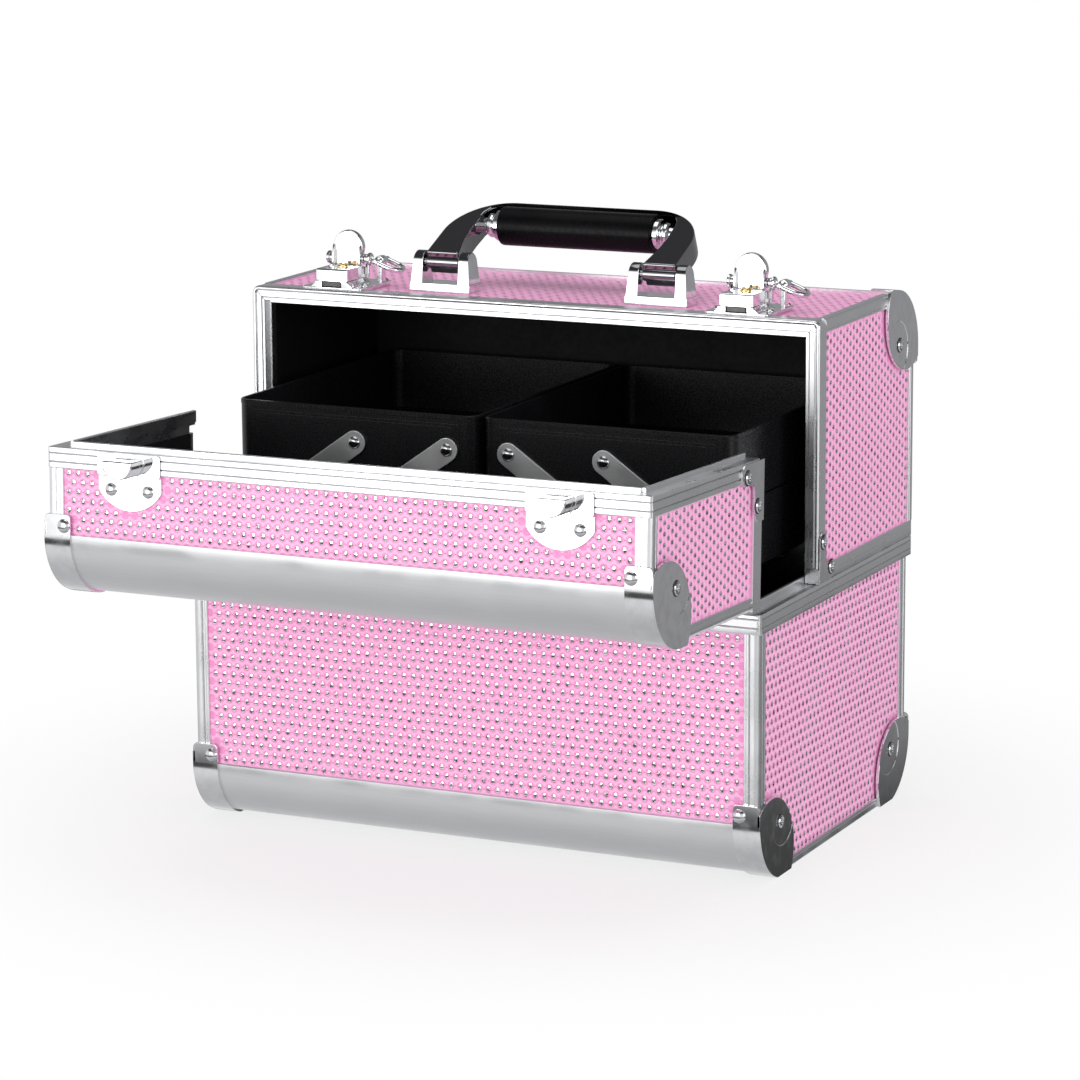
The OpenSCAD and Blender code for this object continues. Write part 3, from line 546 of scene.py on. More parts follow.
class Nodes:
    """A tree of shader nodes, with short calls to add and join them."""

    def __init__(self, owner: object, output: str) -> None:
        """Starts an empty tree.

        Args:
            owner: The material or world.
            output: Type of its output node.
        """
        owner.use_nodes = True
        self.tree = owner.node_tree
        self.tree.nodes.clear()
        self.output = self.node(output)

    def node(self, kind: str, **settings: object) -> bpy.types.Node:
        """Adds a node.

        Args:
            kind: The node's type.
            settings: Its properties.

        Returns:
            The node.
        """
        made = self.tree.nodes.new(kind)
        for key, value in settings.items():
            setattr(made, key, value)
        return made

    def join(self, source: Socket, target: Socket) -> None:
        """Joins an output to an input."""
        self.tree.links.new(source, target)

    def feed(self, target: Socket, value: object) -> None:
        """Joins a socket, or sets a constant, on an input."""
        if isinstance(value, Socket):
            self.join(value, target)
        else:
            target.default_value = value

    def math(self, operation: str, *values: object) -> Socket:
        """A Math node's result.

        Args:
            operation: Its operation.
            values: Numbers or sockets for its inputs.

        Returns:
            The result's socket.
        """
        made = self.node("ShaderNodeMath", operation=operation)
        for target, value in zip(made.inputs, values):
            self.feed(target, value)
        return made.outputs[0]

    def spot(self, scale: Triple = (1, 1, 1)) -> Socket:
        """Object coordinates, stretched.

        Args:
            scale: Scale along each axis.

        Returns:
            The coordinates' socket.
        """
        where = self.node("ShaderNodeTexCoord")
        mapping = self.node("ShaderNodeMapping")
        mapping.inputs["Scale"].default_value = scale
        self.join(where.outputs["Object"], mapping.inputs["Vector"])
        return mapping.outputs[0]

    def noise(self, scale: float, stretch: Triple = (1, 1, 1), detail: float = 3.0) -> Socket:
        """Noise on Object coordinates.

        Args:
            scale: Its scale, per metre.
            stretch: How it is stretched along each axis.
            detail: Its detail.

        Returns:
            The noise's factor.
        """
        made = self.node("ShaderNodeTexNoise")
        made.inputs["Scale"].default_value = scale
        made.inputs["Detail"].default_value = detail
        self.join(self.spot(stretch), made.inputs["Vector"])
        return made.outputs["Fac"]

    def ramp(self, factor: Socket, low: float, high: float, a: object, b: object) -> Socket:
        """Leads a factor from one number or colour to another.

        Args:
            factor: What drives it.
            low: Factor at which it starts.
            high: Factor at which it ends.
            a: Number or colour at the start.
            b: Number or colour at the end.

        Returns:
            The result's socket.
        """
        if isinstance(a, (int, float)):
            made = self.node("ShaderNodeMapRange", interpolation_type="SMOOTHSTEP")
            for key, value in zip(("Value", "From Min", "From Max", "To Min", "To Max"),
                                  (factor, low, high, a, b)):
                self.feed(made.inputs[key], value)
            return made.outputs["Result"]
        share = self.ramp(factor, low, high, 0.0, 1.0)
        mixed = self.node("ShaderNodeMix", data_type="RGBA")
        self.feed(mixed.inputs["Factor"], share)
        self.feed(mixed.inputs[6], (*a, 1.0) if isinstance(a, tuple) else a)
        self.feed(mixed.inputs[7], (*b, 1.0) if isinstance(b, tuple) else b)
        return mixed.outputs[2]

    def light(self, colour: object, strength: float, world: bool = False) -> Socket:
        """Plain light of a colour.

        Args:
            colour: A colour or a socket.
            strength: Its strength.
            world: Whether it is for the world.

        Returns:
            The shader's socket.
        """
        made = self.node("ShaderNodeBackground" if world else "ShaderNodeEmission")
        self.feed(made.inputs["Color"], (*colour, 1.0) if isinstance(colour, tuple) else colour)
        made.inputs["Strength"].default_value = strength
        return made.outputs[0]

    def blend(self, share: Socket, a: Socket, b: Socket) -> Socket:
        """Mixes two shaders.

        Args:
            share: How much of the second.
            a: First shader.
            b: Second shader.

        Returns:
            The mixed shader's socket.
        """
        made = self.node("ShaderNodeMixShader")
        for target, source in zip(made.inputs, (share, a, b)):
            self.join(source, target)
        return made.outputs[0]


class Graph(Nodes):
    """A material with one main shader."""

    def __init__(self, name: str) -> None:
        """Starts the material.

        Args:
            name: Its name.
        """
        self.material = bpy.data.materials.new(name)
        super().__init__(self.material, "ShaderNodeOutputMaterial")
        self.shader = self.node("ShaderNodeBsdfPrincipled")
        self.join(self.shader.outputs[0], self.output.inputs["Surface"])

    def bump(self, height: Socket, depth: float, strength: float = 1.0) -> None:
        """Gives the shader a bump.

        Args:
            height: The height's socket, 0 to 1.
            depth: Its depth in metres.
            strength: Its strength.
        """
        made = self.node("ShaderNodeBump")
        made.inputs["Distance"].default_value = depth
        made.inputs["Strength"].default_value = strength
        self.join(height, made.inputs["Height"])
        self.join(made.outputs[0], self.shader.inputs["Normal"])

    def surface(self, **sockets: object) -> None:
        """Sets or joins the shader's inputs; an underscore in a name stands for a space."""
        for key, value in sockets.items():
            self.feed(self.shader.inputs[key.replace("_", " ")], value)


@dataclass(frozen=True)
class Aluminium:
    """Drawn profile with fine lines along its length."""

    name: str
    along: Facing
    colour: tuple[float, float, float] = (0.83, 0.835, 0.85)
    roughness: float = 0.30

    def material(self) -> Material:
        """Builds the material."""
        graph = Graph(self.name)
        stretch = Vector((1, 1, 1)) - self.along.place(0, 0, 1) * 0.98
        lines = graph.noise(2600, tuple(round(v, 2) for v in stretch), 2.0)
        cloud = graph.noise(45, (1, 1, 1), 4.0)
        shade = tuple(c * 0.965 for c in self.colour)
        graph.surface(Base_Color=graph.ramp(lines, 0.3, 0.7, shade, self.colour), Metallic=1.0,
                      Roughness=graph.ramp(cloud, 0.3, 0.7, self.roughness - 0.05,
                                           self.roughness + 0.06))
        graph.bump(lines, 0.00001, 0.15)
        return graph.material


@dataclass(frozen=True)
class Plated:
    """Polished plating with a trace of haze and rubbed spots."""

    name: str
    colour: tuple[float, float, float] = (0.86, 0.865, 0.88)
    roughness: float = 0.06
    ripple: float = 0.12

    def material(self) -> Material:
        """Builds the material."""
        graph = Graph(self.name)
        haze = graph.noise(160, (1, 1, 1), 5.0)
        wave = graph.noise(38, (1, 1, 1), 1.0)
        dull = tuple(c * 0.93 for c in self.colour)
        graph.surface(Base_Color=graph.ramp(haze, 0.35, 0.65, self.colour, dull), Metallic=1.0,
                      Roughness=graph.ramp(haze, 0.4, 0.75, self.roughness, self.roughness + 0.07))
        graph.bump(wave, 0.0006, self.ripple)
        return graph.material


@dataclass(frozen=True)
class StoneSheet:
    """Pink sheet between the stones: pale ridges, and a dark dot halfway between two stones."""

    name: str = "stone_sheet"
    pitch: float = 5.1
    row_pitch: float = 4.45
    base: tuple[float, float, float] = (0.86, 0.27, 0.55)
    pale: tuple[float, float, float] = (0.95, 0.50, 0.76)
    dot: tuple[float, float, float] = (0.72, 0.14, 0.38)

    def material(self) -> Material:
        """Builds the material."""
        graph = Graph(self.name)
        uv = graph.node("ShaderNodeUVMap", uv_map="grid")
        parts = graph.node("ShaderNodeSeparateXYZ")
        graph.join(uv.outputs[0], parts.inputs[0])
        u, v = parts.outputs["X"], parts.outputs["Y"]
        row = graph.math("ROUND", v)
        odd = graph.math("ABSOLUTE", graph.math("MODULO", row, 2.0))
        along = graph.math("SUBTRACT", u, graph.math("MULTIPLY", odd, 0.5))
        up = graph.math("MULTIPLY", graph.math("SUBTRACT", v, row), self.row_pitch)

        def away(offset: float) -> Socket:
            """Distance from the nearest point of the row's grid, shifted by offset pitches."""
            moved = graph.math("ADD", along, offset)
            rest = graph.math("SUBTRACT", moved, graph.math("ROUND", moved))
            side = graph.math("MULTIPLY", rest, self.pitch)
            square = graph.math("ADD", graph.math("MULTIPLY", side, side), graph.math("MULTIPLY",
                                                                                      up, up))
            return graph.math("SQRT", square)

        ridge = graph.ramp(away(0.0), 1.6, 2.5, 0.0, 1.0)
        hole = graph.ramp(away(0.5), 0.18, 0.50, 1.0, 0.0)
        grain = graph.noise(900, (1, 1, 1), 3.0)
        ground = graph.ramp(ridge, 0.0, 1.0, self.base, self.pale)
        grained = graph.ramp(grain, 0.35, 0.95, ground, self.pale)
        graph.surface(Base_Color=graph.ramp(hole, 0.0, 1.0, grained, self.dot), Roughness=0.42,
                      Specular_IOR_Level=0.4)
        height = graph.math("SUBTRACT", graph.math("ADD", ridge, graph.math("MULTIPLY", grain,
                                                                            0.25)), hole)
        graph.bump(height, 0.00012, 0.7)
        return graph.material


@dataclass(frozen=True)
class StoneGlass:
    """Foil-backed glass with painted glints: random cells of its colour are bright, grey or dark,
    standing in for facets that catch the light and facets that don't.
    """

    name: str = "stone_glass"

    def material(self) -> Material:
        """Builds the material."""
        graph = Graph(self.name)
        cells = graph.node("ShaderNodeTexVoronoi")
        cells.inputs["Scale"].default_value = 1500
        graph.join(graph.spot(), cells.inputs["Vector"])
        grey = graph.node("ShaderNodeSeparateColor")
        graph.join(cells.outputs["Color"], grey.inputs[0])
        # painted glints: the colour runs from dark to bright by random cells, as light caught by the
        # facets
        tone = graph.ramp(grey.outputs[0], 0.1, 0.75, (0.12, 0.11, 0.12), (0.95, 0.95, 0.97))
        graph.surface(Base_Color=tone, Metallic=0.85, Roughness=0.08, Coat_Weight=1.0,
                      Coat_Roughness=0.03)
        return graph.material


@dataclass(frozen=True)
class Moulded:
    """Moulded plastic or lining with a fine grain."""

    name: str
    colour: tuple[float, float, float]
    roughness: float
    grain: float = 700.0
    depth: float = 0.00006
    strength: float = 0.4
    shine: float = 0.5

    def material(self) -> Material:
        """Builds the material."""
        graph = Graph(self.name)
        grain = graph.noise(self.grain, (1, 1, 1), 4.0)
        cloud = graph.noise(30, (1, 1, 1), 3.0)
        light = tuple(min(1.0, c * 1.3 + 0.002) for c in self.colour)
        rough = graph.ramp(grain, 0.3, 0.7, self.roughness - 0.05, self.roughness + 0.08)
        graph.surface(Base_Color=graph.ramp(cloud, 0.25, 0.8, self.colour, light), Roughness=rough,
                      Specular_IOR_Level=self.shine)
        graph.bump(grain, self.depth, self.strength)
        return graph.material


class Finishes:
    """Every finish of the case, built once."""

    def __init__(self) -> None:
        """Builds the materials."""
        self.along_x = Aluminium("profile_along_x", Facing.X).material()
        self.along_y = Aluminium("profile_along_y", Facing.Y).material()
        self.along_z = Aluminium("profile_along_z", Facing.Z).material()
        self.curve = Aluminium("curved_profile", Facing.X, (0.80, 0.805, 0.82), 0.36).material()
        self.plate = Plated("plated").material()
        self.cast = Plated("plated_casting", (0.84, 0.845, 0.86), 0.10, 0.12).material()
        self.steel = Plated("bright_steel", (0.74, 0.745, 0.76), 0.22, 0.15).material()
        self.rivet = Plated("rivet_head", (0.66, 0.665, 0.68), 0.16, 0.1).material()
        self.brass = Plated("lock_brass", (0.83, 0.62, 0.26), 0.14, 0.1).material()
        self.sheet = StoneSheet().material()
        self.glass = StoneGlass().material()
        self.cup = Moulded("stone_cup", (0.34, 0.12, 0.22), 0.35).material()
        black = (0.006, 0.006, 0.007)
        self.lining = Moulded("lining", black, 0.62, 420.0, 0.00025, 0.6, 0.16).material()
        self.tray = Moulded("tray_plastic", black, 0.27, 1500.0, 0.00001, 0.15, 0.3).material()
        self.grip = Moulded("grip_plastic", (0.002, 0.002, 0.0025), 0.30, 500.0, 0.00003, 0.2,
                            0.09).material()
        self.arm = Aluminium("arm_steel", Facing.X, (0.74, 0.745, 0.75), 0.38).material()
        # painted dark reflection: the plating's colour is darkened to stand for the dark room that the
        # polished bow and bracket tops mirror
        self.painted_dark_reflection_plate = Plated("dark_plating", (0.27, 0.27, 0.28), 0.05, 0.10).material()
        # painted shade: the bolts' plating is near-black, standing for the shade of the slot they sit
        # in
        self.bolt = Plated("bolt_steel_painted_shade", (0.09, 0.085, 0.085), 0.3, 0.1).material()
        self.stud = Plated("stud_steel", (0.45, 0.45, 0.46), 0.14, 0.1).material()
        self.groove = Aluminium("groove_shade", Facing.X, (0.30, 0.30, 0.31), 0.45).material()
        self.dark = Moulded("shadow_gap", (0.02, 0.02, 0.02), 0.5).material()
        self.floor = Moulded("floor_board", (0.03, 0.03, 0.03), 0.5, 500.0, 0.0001, 0.5).material()


@dataclass
class Assembly:
    """A sub-assembly: its finishes, and the body that its pieces ride on."""

    finishes: Finishes
    body: str = field(default="case", kw_only=True)

    def piece(self, name: str, slot: Slot, finishes: tuple[Material, ...], *nodes: str,
              body: str = "") -> Piece:
        """Starts a visible piece.

        Args:
            name: Its name.
            slot: Its kind of finish.
            finishes: Its materials, by index.
            nodes: The CAD nodes that it stands for.
            body: The body that it rides on, where it isn't the sub-assembly's.

        Returns:
            The empty piece.
        """
        return Piece(name, body or self.body, slot, finishes, nodes)

    def boards(self, name: str, node: str) -> Piece:
        """Starts a piece of boards with stones, which stands for one node."""
        f = self.finishes
        return self.piece(name, Slot.STONES, (f.sheet, f.cup, f.glass), node)

    def fittings(self, name: str, *nodes: str) -> Piece:
        """Starts a piece of castings with rivets."""
        f = self.finishes
        return self.piece(name, Slot.PLATED, (f.cast, f.rivet, f.dark), *nodes)


# ---------------------------------------------------------------- panels


@dataclass
class StonePanel:
    """A board faced with a pink sheet and rows of stones, drawn in its own plane."""

    outline: Loop
    facing: Facing
    face: float
    back: float
    inside: Callable[[float, float], bool]
    centre: tuple[float, float]
    reach: tuple[float, float]
    upright: bool = False
    pitch: float = 5.1
    row_pitch: float = 4.45
    slim: float = 0.74
    rings: tuple[tuple[float, float], ...] = ((1.62, -0.1), (1.5, 0.05), (0.8, 0.28))

    @property
    def across(self) -> Vector:
        """Direction of the stones' rows."""
        return self.facing.place(0, 1, 0) if self.upright else self.facing.place(1, 0, 0)

    @property
    def up(self) -> Vector:
        """Direction from row to row."""
        return self.facing.place(1, 0, 0) if self.upright else self.facing.place(0, 1, 0)

    def grid(self, spot: Vector) -> tuple[float, float]:
        """A point's place on the stones' grid, in pitches from the centre."""
        away = spot - self.facing.place(*self.centre, self.face)
        return away.dot(self.across) / self.pitch, away.dot(self.up) / self.row_pitch

    def stone(self, out: float) -> BMesh:
        """One stone at the panel's centre.

        Args:
            out: +1 or -1, the side that the panel's face looks to.

        Returns:
            Its cup and its facets.
        """
        bm = bmesh.new()
        first = bmesh.ops.create_circle(bm, segments=8, radius=self.rings[0][0], cap_ends=True)["verts"]
        bmesh.ops.translate(bm, verts=first, vec=(0, 0, self.rings[0][1]))
        top = bm.faces[:]
        for (before, low), (radius, high) in zip(self.rings, self.rings[1:]):
            verts, top = grown(bm, top, (0, 0, high - low))
            bmesh.ops.scale(bm, vec=(radius / before, radius / before, 1), verts=verts)
        for face in bm.faces:
            face.material_index = 1 if face.calc_center_median().z < self.rings[1][1] else 2
        axes = Matrix((self.across * self.slim, self.up, self.facing.place(0, 0, out))).transposed()
        place = Matrix.Translation(self.facing.place(*self.centre, self.face)) @ axes.to_4x4()
        bmesh.ops.transform(bm, matrix=place, verts=bm.verts[:])
        bmesh.ops.recalc_face_normals(bm, faces=bm.faces[:])
        return bm

    def repeat(self, bm: BMesh, count: int, step: Vector) -> None:
        """Repeats all that a mesh holds.

        Args:
            bm: The mesh.
            count: How many there are in the end.
            step: From one to the next.
        """
        seed = bm.verts[:] + bm.edges[:] + bm.faces[:]
        for index in range(1, count):
            made = bmesh.ops.duplicate(bm, geom=seed)["geom"]
            bmesh.ops.translate(bm, verts=[e for e in made if isinstance(e, BMVert)], vec=step * index)

    def stones(self, out: float) -> BMesh:
        """All stones of the panel.

        Args:
            out: +1 or -1, the side that the panel's face looks to.

        Returns:
            The stones.
        """
        long, short = self.reach[::-1] if self.upright else self.reach
        columns = int(long // self.pitch) + 2
        pairs = int(short // (2 * self.row_pitch)) + 2
        across, up = self.across * self.pitch, self.up * self.row_pitch
        bm = self.stone(out)
        self.repeat(bm, 2, across * 0.5 + up)
        bmesh.ops.translate(bm, verts=bm.verts[:], vec=-across * columns - up * (2 * pairs))
        self.repeat(bm, 2 * columns + 1, across)
        self.repeat(bm, 2 * pairs + 1, up * 2)
        lost = []
        for face in bm.faces:
            column, row = self.grid(face.calc_center_median())
            odd = 0.5 * (round(row) % 2)
            middle = across * (round(column - odd) + odd) + up * round(row)
            u, v = (middle.dot(self.facing.place(*axis, 0)) for axis in ((1, 0), (0, 1)))
            if not self.inside(self.centre[0] + u, self.centre[1] + v):
                lost.append(face)
        bmesh.ops.delete(bm, geom=lost, context="FACES")
        return bm

    def board(self) -> BMesh:
        """The board with its sheet, whose map gives the stones' grid."""
        low, high = sorted((self.face, self.back))
        bm = slab(self.outline, self.facing, low, high)
        grid = bm.loops.layers.uv.new("grid")
        for face in bm.faces:
            for corner in face.loops:
                corner[grid].uv = self.grid(corner.vert.co)
        return bm

    def dress(self, piece: Piece, *places: Matrix) -> Piece:
        """Adds the board and its stones to a piece.

        Args:
            piece: The piece.
            places: Where each copy goes.

        Returns:
            The piece.
        """
        out = 1.0 if self.face > self.back else -1.0
        piece.add(self.board(), *places)
        piece.add(self.stones(out), *places)
        return piece


@dataclass(frozen=True)
class Window:
    """The part of a panel that carries stones."""

    left: float
    right: float
    low: float
    high: float
    blocks: tuple[tuple[float, float, float, float], ...] = ()
    discs: tuple[tuple[float, float, float], ...] = ()
    curves: tuple[tuple[float, float, float, int, int], ...] = ()

    def __call__(self, u: float, v: float) -> bool:
        """True where a stone fits.

        Args:
            u: First coordinate in the panel's plane.
            v: Second coordinate.

        Returns:
            Whether a stone's middle may lie there.
        """
        if not (self.left <= u <= self.right and self.low <= v <= self.high):
            return False
        if any(a <= u <= b and c <= v <= d for a, b, c, d in self.blocks):
            return False
        if any(math.hypot(u - a, v - b) < r for a, b, r in self.discs):
            return False
        return not any((u - a) * su > 0 and (v - b) * sv > 0 and math.hypot(u - a, v - b) > r
                       for a, b, r, su, sv in self.curves)


# ---------------------------------------------------------------- shared hardware


@dataclass(frozen=True)
class Rivet:
    """A rivet head: domed, or hollow with a ring round it."""

    radius: float = 3.25
    height: float = 1.8

    def domed(self) -> BMesh:
        """A domed head standing on the origin along +Z."""
        r, h = self.radius, self.height
        return turned([(0, -0.3), (r * 1.04, -0.3), (r * 1.04, 0.25), (r * 0.98, 0.5),
                       (r * 0.86, h * 0.62),
                       (r * 0.6, h * 0.88), (r * 0.3, h * 0.98), (0, h)], 24)

    def hollow(self) -> BMesh:
        """A head with a dished middle."""
        r = self.radius
        return turned([(0, -0.2), (r, -0.2), (r, 0.5), (r * 0.86, 1.0), (r * 0.66, 1.15),
                       (r * 0.5, 0.95),
                       (r * 0.42, 0.3), (r * 0.2, 0.12), (0, 0.1)], 24)

    def ring(self) -> BMesh:
        """The shadow line round a set-in head."""
        r = self.radius
        low, high = -0.2, 0.12
        return turned([(r, low), (r * 1.2, low), (r * 1.2, high), (r, high), (r, low)], 24)


FACE_X = turn(90, "Y")
FACE_FRONT = turn(90, "X")


@dataclass
class Casting:
    """Cast corner of a curved edge, drawn at the front lower right corner."""

    x: float
    y: float
    floor: float
    thick: float = 1.2
    width: float = 14.0
    strap_top: float = 41.0
    cheek_radius: float = 28.5

    def arc_to(self, centre: tuple[float, float], radius: float, a: Sequence[float], b: Sequence[float],
               clockwise: bool) -> Loop:
        """An arc between two points on a circle."""
        start = math.degrees(math.atan2(a[1] - centre[1], a[0] - centre[0]))
        stop = math.degrees(math.atan2(b[1] - centre[1], b[0] - centre[0]))
        if clockwise and stop > start:
            stop -= 360
        if not clockwise and stop < start:
            stop += 360
        return arc(*centre, radius, start, stop, max(4, int(abs(stop - start) / 6)))

    def strap(self) -> BMesh:
        """The strap over the curve, with its straight end on the face."""
        cy, cz, r, t = -self.y + ROUND, ROUND, ROUND, self.thick
        end = 270.0 if self.floor < 0 else 270 - math.degrees(math.acos(ROUND / (ROUND + t)))
        outer = arc(cy, cz, r + t, 180, end, 14)
        inner = arc(cy, cz, r - 0.3, 270, 180, 14)
        top = self.strap_top
        loop = [(-self.y + 0.3, top), (-self.y - t, top)] + outer + inner
        bm = slab(loop, Facing.X, self.x - self.width + t, self.x + t)
        corner = [e for e in bm.edges if all(v.co.z > top - 0.1 for v in e.verts)
                  and abs(e.verts[0].co.x - e.verts[1].co.x) < 0.1]
        bmesh.ops.bevel(bm, geom=corner, offset=2.4, affect="EDGES", segments=4, profile=0.5,
                        material=-1,
                        clamp_overlap=True)
        return soften(closed(bm), 0.4, 2, 35)

    def cheek(self) -> tuple[BMesh, BMesh]:
        """The cheek's plate and the raised part beside its rivet."""
        mid = (-self.y + 14.5, 13.0)
        cy, cz, r = -self.y + ROUND, ROUND, ROUND + self.thick
        front = -self.y - self.thick
        top = (front, mid[1] + math.sqrt(self.cheek_radius ** 2 - (front - mid[0]) ** 2))
        toe = (mid[0] + math.sqrt(self.cheek_radius ** 2 - (self.floor - mid[1]) ** 2), self.floor)
        heel = (cy - math.sqrt(max(0.0, r ** 2 - (cz - self.floor) ** 2)), self.floor)
        corner = self.arc_to((cy, cz), r, heel, (front, cz), True)
        plate = self.arc_to(mid, self.cheek_radius, top, toe, True) + corner
        pad, pad_r = (-self.y + 28.5, 29.5), 14.5
        gap = math.hypot(pad[0] - mid[0], pad[1] - mid[1])
        along = (self.cheek_radius ** 2 - pad_r ** 2 + gap ** 2) / (2 * gap)
        side = math.sqrt(self.cheek_radius ** 2 - along ** 2)
        ux, uy = (pad[0] - mid[0]) / gap, (pad[1] - mid[1]) / gap
        upper = (mid[0] + along * ux - side * uy, mid[1] + along * uy + side * ux)
        lower = (mid[0] + along * ux + side * uy, mid[1] + along * uy - side * ux)
        raised = (self.arc_to(mid, self.cheek_radius, top, upper, True)
                  + self.arc_to(pad, pad_r, upper, lower, False)[1:-1]
                  + self.arc_to(mid, self.cheek_radius, lower, toe, True) + corner)
        base = slab(plate, Facing.X, self.x - 0.2, self.x + self.thick, 0.3)
        return base, slab(raised, Facing.X, self.x + 0.6, self.x + self.thick + 0.28, 0.22, 3)

    def dress(self, piece: Piece, *places: Matrix) -> Piece:
        """Adds the casting with its rivets.

        Args:
            piece: The piece; its finishes are plating, rivet, dark.
            places: Where each copy goes.

        Returns:
            The piece.
        """
        piece.add(self.strap(), *places)
        for solid in self.cheek():
            piece.add(solid, *places)
        side = shift(self.x + self.thick, -self.y + 25.5, 27.5) @ FACE_X
        face = shift(self.x - 9.5, -self.y - self.thick, 35.5) @ FACE_FRONT
        rivet = Rivet()
        piece.add(rivet.hollow(), *(p @ side for p in places), finish=1)
        piece.add(rivet.ring(), *(p @ side for p in places), finish=2)
        piece.add(rivet.domed(), *(p @ face for p in places), finish=1)
        return piece


def eased(bm: BMesh, half: float, radius: float, both: bool = True) -> BMesh:
    """Rounds the outer corner of a frame's bar where it meets the next one.

    Args:
        bm: The bar, with its outer face at Y = 0.
        half: Half of its outer length.
        radius: Radius of the corner.
        both: Whether its +X end is a corner too.

    Returns:
        The same bar.
    """
    for side in (-1, 1) if both else (-1,):
        for degrees in (10, 20, 30, 40):
            a = math.radians(degrees)
            normal = Vector((side * math.sin(a), -math.cos(a), 0))
            cut(bm, Vector((side * (half - radius), radius, 0)) + normal * radius, normal)
    return bm


TO_REAR = Matrix.Rotation(math.pi, 4, "Z")


